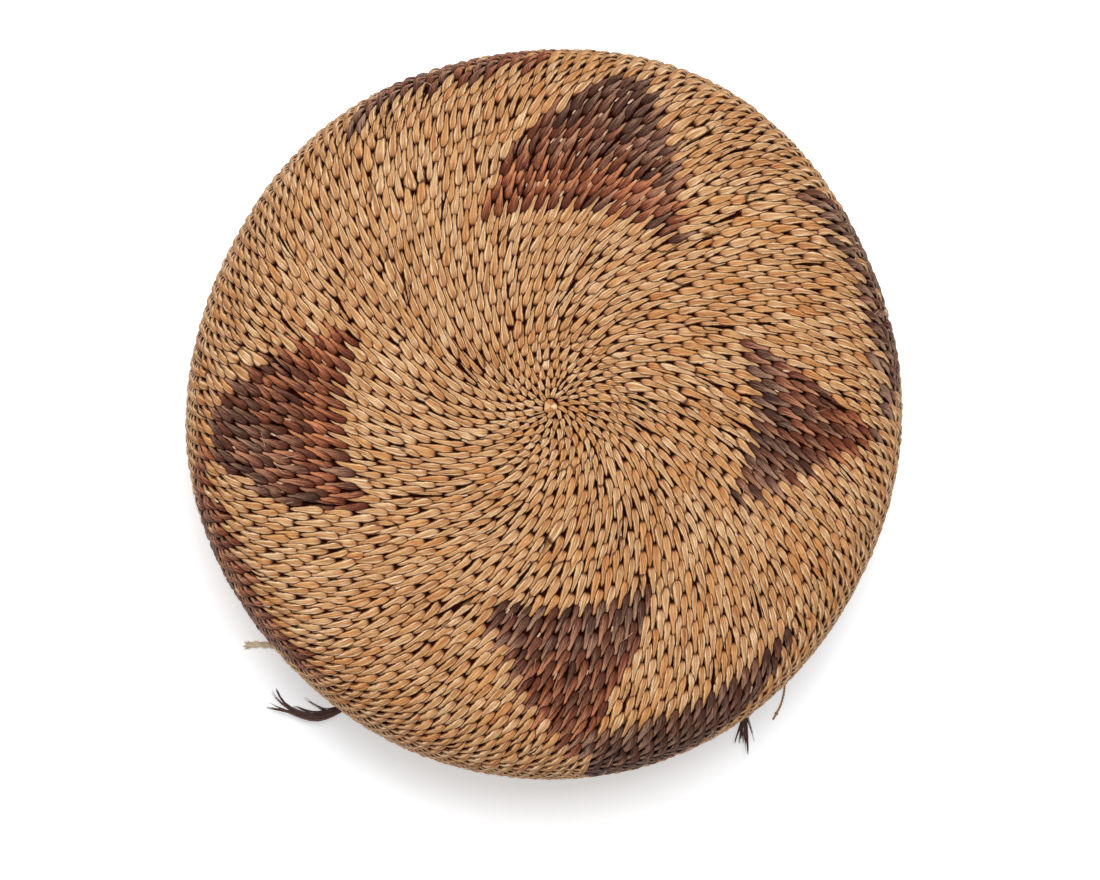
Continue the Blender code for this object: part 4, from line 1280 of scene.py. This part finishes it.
# Distances from a bead's middle at which the string leaves its height and reaches the wall
STRING_FALL = (1.2 * MM, 2.6 * MM)
KNOT_RADIUS = 1.1 * MM
KNOT_CORD_RADIUS = 0.38 * MM
KNOT_REACH = KNOT_RADIUS - 0.3 * MM
TIE_RADIUS = 1.2 * MM
THREAD_RADIUS = 0.26 * MM


def bead_anchor():
    """Place along the wall that the beads' edges lie against."""
    centre = box_centre(BEAD_NODES[0])
    along = np.linspace(BASE_LENGTH + SHOULDER_LENGTH, PROFILE_LENGTH, 4000)
    off = surface(along, azimuth_of(centre), BEAD_RADIUS + CLEARANCE) - np.array(centre)
    return float(along[np.argmin(np.linalg.norm(off, axis=1))])


def make_strings(material):
    """Two-ply strings that carry the beads from knot to knot, down to the wall between them."""
    anchor = bead_anchor()
    radius = box_centre(BEAD_NODES[0]).xy.length
    beads = np.array([azimuth_of(box_centre(node)) for node in BEAD_NODES])
    left, right = box_centre("string_knot_left"), box_centre("string_knot_right")
    first, last = azimuth_of(left) % WHOLE_TURN, azimuth_of(right) % WHOLE_TURN
    gap = KNOT_RADIUS / right.xy.length
    for node, start, end in (
            ("bead_string_front", first, last), ("bead_string_back", last, first + WHOLE_TURN)):
        azimuth = np.arange(start + gap, end - gap, STRING_STEP / radius)
        apart = np.abs((azimuth[:, None] - beads + math.pi) % WHOLE_TURN - math.pi).min(axis=1) * radius
        share = smooth_step(rise(apart, *STRING_FALL))
        lift = CLEARANCE + BEAD_RADIUS + (STRING_RADIUS - BEAD_RADIUS) * share
        paths = twisted(surface(anchor, azimuth, lift), STRING_RADIUS - PLY_RADIUS, PLY_TWIST)
        dress(strands_object(f"{node}_plies", material, paths, PLY_RADIUS, 6), "cotton_string", node)


def make_beads(material):
    """Ground shell discs, each a little uneven."""
    turn = around(BEAD_SIDES)
    side, reach = np.array(BEAD_SECTION).T[..., None]
    first = np.arange(len(side)) * BEAD_SIDES
    quads = ring_quads(first, np.roll(first, -1), BEAD_SIDES)
    for node in BEAD_NODES:
        centre = box_centre(node)
        uneven = 1 - 0.05 * random.random() * (1 + np.cos(2 * turn + random.uniform(0, 6)))
        uneven = uneven - 0.03 * random.random() * (1 + np.cos(3 * turn + random.uniform(0, 6)))
        half = side * random.uniform(0.78, 1.0) * BEAD_HALF
        radius = BEAD_BORE + (BEAD_RADIUS - BEAD_BORE) * reach * uneven
        points = np.stack(np.broadcast_arrays(half, radius * np.cos(turn), radius * np.sin(turn)), -1)
        bore = Matrix.Rotation(azimuth_of(centre) + math.pi / 2, 3, "Z")
        disc = mesh_from(f"{node}_disc", material, points @ np.array(bore).T + np.array(centre), quads)
        disc.data.set_sharp_from_angle(angle=BEAD_SHARP_ANGLE)
        dress(disc, "shell", node)


def winding(centre, axis, radius, half_length, turns, steps=22):
    """Path of a thread wound about an axis, a little closer to it at both ends."""
    axis = Vector(axis).normalized()
    side = axis.orthogonal().normalized()
    turn = np.linspace(0, WHOLE_TURN * turns, int(steps * turns))[:, None]
    share = np.linspace(-1, 1, len(turn))[:, None]
    reach = radius * (1 - 0.22 * share ** 2)
    ring = np.array(side) * np.cos(turn) + np.array(axis.cross(side)) * np.sin(turn)
    return np.array(centre) + np.array(axis) * share * half_length + reach * ring


def make_knots(material):
    """Overhand knots of the strings and the wound threads of the tufts."""
    for side in ("left", "right"):
        node = f"string_knot_{side}"
        centre = box_centre(node)
        tangent = Vector((-centre.y, centre.x, 0.0)).normalized()
        first = winding(centre, tangent, KNOT_REACH, 0.55 * MM, 2.5)
        tilted = tangent + Vector((0.0, 0.0, 1.1))
        second = winding(centre, tilted, KNOT_REACH * 0.95, 0.3 * MM, 1.6)
        loops = (first[:len(second)], second)
        dress(strands_object(f"{node}_loops", material, loops, KNOT_CORD_RADIUS, 7), "cotton_string", node)
        node = f"tuft_tie_{side}"
        centre = box_centre(node)
        thread = winding(centre, (centre.x, centre.y, 0.0), TIE_RADIUS - THREAD_RADIUS, 0.85 * MM, 4.5)
        dress(strands_object(f"{node}_thread", material, [thread], THREAD_RADIUS, 7), "cotton_string", node)


# Feather tufts: their locks, as pixels of the photograph from the tie outward, and the barbs of each
TUFT_LOCKS = {
    "left": (
        ((340, 708), (328, 713), (315, 716), (301, 713), (288, 706), (280, 697), (276, 687)),
        ((340, 709), (328, 714), (315, 717), (301, 714), (288, 708), (277, 699), (271, 690)),
        ((340, 710), (328, 715), (315, 718), (301, 716), (288, 711), (278, 707), (269, 702)),
        ((340, 710), (328, 716), (315, 719), (301, 716), (288, 711), (276, 709), (264, 706.5)),
        ((340, 708), (326, 712), (315, 713), (306, 711), (299, 708), (292.5, 706)),
        ((338, 708), (324, 709.6), (316, 705), (308, 700), (304.6, 696)),
    ),
    "right": (
        ((743, 714), (741, 724), (738, 733), (735.5, 740), (734.5, 745)),
        ((743, 714), (742, 725), (740.5, 735), (739.5, 743), (739.6, 748)),
        ((744, 714), (743.5, 726), (743, 735), (743, 741), (743.5, 745.5)),
        ((744, 714), (745, 726), (745.5, 736), (745.5, 744), (746, 751)),
        ((745, 714), (746.5, 726), (747.5, 738), (748, 748), (748, 756)),
        ((746, 713), (748.5, 722), (751, 730), (753, 737), (754.7, 742)),
    ),
}
LOCK_BARBS = (11, 11, 10, 10, 7, 4)
LOCK_STATIONS = 16
LOCK_SWELL = {"left": 0.45 * MM, "right": 0.26 * MM}
LOCK_LEAST_SPREAD = 0.15 * MM
TUFT_END_HEIGHT = 4.2 * MM
BARB_RADIUS = 0.115 * MM


def path_from_photo(root, pixels, end_height, count):
    """Smooth path from a root through pixels of the photograph, down to a height."""
    heights = np.linspace(root.z, end_height, len(pixels) + 1)[1:]
    return smooth_path([root, *(from_photo(pixel, height) for pixel, height in zip(pixels, heights))], count)


def make_tufts(material):
    """Dark feather barbs in a few locks, gathered at the tie."""
    share = np.linspace(0, 1, LOCK_STATIONS)
    stations = np.arange(LOCK_STATIONS)
    for side, locks in TUFT_LOCKS.items():
        root = box_centre(f"tuft_tie_{side}")
        swell = np.sin(math.pi * np.minimum(share * 1.1 + 0.02, 1))
        spread = LOCK_LEAST_SPREAD + LOCK_SWELL[side] * swell
        paths, radii = [], []
        for lock, barbs in zip(locks, LOCK_BARBS):
            path = path_from_photo(root, lock, TUFT_END_HEIGHT, LOCK_STATIONS)
            across, upward = frame_along(path)
            for _ in range(barbs):
                drift = random.normal(0, 0.1) * MM * share ** 2
                sideways = random.uniform(-1, 1) * spread + drift
                lift = random.uniform(-0.6, 0.6) * spread + random.normal(0, 0.1) * MM * share
                reach = (LOCK_STATIONS - 1) * random.uniform(0.86, 1.0)
                barb = path + across * sideways[:, None] + upward * lift[:, None]
                paths.append(read_off(np.linspace(0, reach, LOCK_STATIONS), stations, barb))
                radii.append(BARB_RADIUS * random.uniform(0.8, 1.35) * (1 - 0.7 * share ** 4))
        barbs = strands_object(f"feather_barbs_{side}", material, paths, radii, 4)
        dress(barbs, "feather", f"feather_plume_{side}", body=f"plume_{side}")


# Loose string ends, as pixels of the photograph from the knot outward, and the heights of their tips
LEFT_END = ((288, 643.5), (274.6, 645.4), (266, 645), (259.5, 644.3), (254, 644.6), (250, 645))
RIGHT_END = ((784, 676), (784.6, 685.3), (783.5, 695), (780.7, 705), (776.5, 713.3), (773, 719.6))
LEFT_END_LOW = 1.0 * MM
RIGHT_END_LOW = 0.6 * MM
FRAY_HAIRS = 34
FRAY_RADIUS = 0.12 * MM


def add_end_piece(side, name, material, paths, radius, sides, tones):
    """One piece of a loose end."""
    item = strands_object(f"string_end_{side}_{name}", material, paths, radius, sides, tones)
    dress(item, "cotton_string", f"string_end_{side}", body=f"loose_end_{side}")


def make_ends(material):
    """Loose ends of the strings: the left a frayed two-ply cord, the right thin and knotted."""
    path = path_from_photo(box_centre("string_knot_left"), LEFT_END, LEFT_END_LOW, 90)
    # The left end's plies and fray get pale tones, partly for the cord's own cream colour and partly as
    # painted light that brightens it in the basket's shade
    add_end_piece("left", "plies", material, twisted(path, 0.36 * MM, 4.2 * MM), 0.46 * MM, 8, (1.1, 1.3))
    ahead = path[-1] - path[-8]
    ahead /= np.linalg.norm(ahead)
    share = np.linspace(0, 1, 8)[:, None]
    hairs = []
    for _ in range(FRAY_HAIRS):
        away = random.normal(0, 1, 3) * np.array((1, 1, 0.7))
        away -= ahead * away.dot(ahead)
        away /= np.linalg.norm(away)
        reach = random.uniform(0.9, 2.0) * MM
        start = path[-4] + away * random.uniform(0.1, 0.65) * MM
        hairs.append(start + ahead * share * reach + away * share ** 2 * random.uniform(0, 0.7) * MM)
    hairs = np.array(hairs)
    hairs[..., 2] = np.maximum(hairs[..., 2], FRAY_RADIUS)
    add_end_piece("left", "fray", material, hairs, FRAY_RADIUS, 3, (1.25, 1.4))

    path = path_from_photo(box_centre("string_knot_right"), RIGHT_END, RIGHT_END_LOW, 110)
    add_end_piece("right", "plies", material, twisted(path, 0.13 * MM, 1.5 * MM), 0.16 * MM, 6, (0.25, 0.4))
    lump = from_photo(RIGHT_END[4], RIGHT_END_LOW + 0.1 * MM)
    loops = [winding(lump, path[-20] - path[-30], 0.3 * MM, 0.2 * MM, 2.5)]
    add_end_piece("right", "knot", material, loops, 0.17 * MM, 6, (0.1, 0.2))


def set_camera():
    """Camera nearly above the basket, with +Y up in the picture."""
    data = bpy.data.cameras.new("camera")
    data.sensor_width = SENSOR_WIDTH
    data.lens = SENSOR_WIDTH * CAMERA_DISTANCE / (MM_PER_PIXEL * PHOTO_WIDTH)
    data.shift_x = (PHOTO_WIDTH / 2 - AXIS_PIXEL[0]) / PHOTO_WIDTH
    data.shift_y = (AXIS_PIXEL[1] - PHOTO_HEIGHT / 2) / PHOTO_WIDTH
    data.clip_end = FAR_CLIP
    camera = add_object("camera", data)
    camera.matrix_world = Matrix([(*axis, 0.0) for axis in view_axes()]).transposed()
    camera.matrix_world[3][3] = 1.0
    bpy.context.scene.camera = camera


# Floor and light: the glow that the camera sees between two distances, and the lamp
FLOOR_HALF = 4.0
FLOOR_COLOUR = (0.92, 0.94, 0.96, 1.0)
FLOOR_GLOW = {"From Min": 0.2, "From Max": 0.9, "To Min": 0.41, "To Max": 0.8}
SKY_STRENGTH = 0.29
LAMP_PLACE = Vector((-0.06, 0.27, 1.43))
LAMP_TARGET = Vector((0.0, 0.0, 0.03))
LAMP_SIZE = 0.5
LAMP_POWER = 16.4


def seen_directly(nodes):
    """Output that is 1 for the rays in which the surroundings themselves are seen, and 0 for their light."""
    kinds = ("Is Camera Ray", "Is Glossy Ray", "Is Transmission Ray")
    camera, glossy, transmission = (nodes.add("ShaderNodeLightPath", kind) for kind in kinds)
    return camera.or_more(glossy).or_more(transmission)


def set_floor():
    """White floor that catches the soft shadow."""
    nodes = Nodes(bpy.data.materials.new("floor"))
    position = nodes.add("ShaderNodeNewGeometry", "Position")
    distance = nodes.add("ShaderNodeVectorMath", "Value", {0: position}, operation="LENGTH")
    glow = nodes.add("ShaderNodeMapRange", "Result", {"Value": distance, **FLOOR_GLOW},
                     interpolation_type="SMOOTHSTEP")
    nodes.shader.inputs["Base Color"].default_value = FLOOR_COLOUR
    nodes.finish(
        Roughness=1.0, Specular_IOR_Level=0.0, Emission_Color=(255, 255, 255),
        Emission_Strength=seen_directly(nodes) * glow)
    mesh = bpy.data.meshes.new("floor")
    corners = [(-1, -1), (1, -1), (1, 1), (-1, 1)]
    mesh.from_pydata([(x * FLOOR_HALF, y * FLOOR_HALF, 0) for x, y in corners], [], [(0, 1, 2, 3)])
    mesh.materials.append(nodes.owner)
    add_object("floor", mesh)


def set_light():
    """Even white surroundings and a large soft lamp towards the top of the picture."""
    nodes = Nodes(bpy.data.worlds.new("world"), "Background")
    nodes.finish(Color=(255, 255, 255), Strength=seen_directly(nodes) * (1 - SKY_STRENGTH) + SKY_STRENGTH)
    bpy.context.scene.world = nodes.owner
    bpy.context.scene.view_settings.view_transform = "Standard"
    data = bpy.data.lights.new("lamp_top", "AREA")
    data.shape = "SQUARE"
    data.size = LAMP_SIZE
    data.energy = LAMP_POWER
    lamp = add_object("lamp_top", data)
    lamp.location = LAMP_PLACE
    lamp.rotation_euler = (LAMP_TARGET - LAMP_PLACE).to_track_quat("-Z", "Y").to_euler()


def main():
    """Dress the basket and set up its picture."""
    # The last two values of each fibre are the ruddy painted shade behind the heads and the dark painted
    # shade at the ends, edges and creases, each a most share and a colour
    natural = fibre_material("natural_fibre", 0.12, natural_colour, (0.5, (158, 86, 48)), (0.94, (56, 9, 0)))
    dark = fibre_material("dark_fibre", 0.1, dark_colour, (0.45, (84, 34, 22)), (0.95, (20, 3, 0)))
    cotton = cotton_material()
    # The foundation is coloured near black as painted shade in the gaps between the stitches
    make_core(plain_material("core_painted_shade", (22, 4, 0), (58, 20, 6), 1.0, 900.0, 0.0))
    make_stitches(natural, dark)
    make_knob(natural)
    make_rim(natural)
    make_strings(cotton)
    make_beads(plain_material("shell", (206, 190, 162), (240, 230, 210), 0.32, 420.0))
    make_knots(cotton)
    make_tufts(feather_material())
    make_ends(cotton)
    set_camera()
    set_floor()
    set_light()


main()
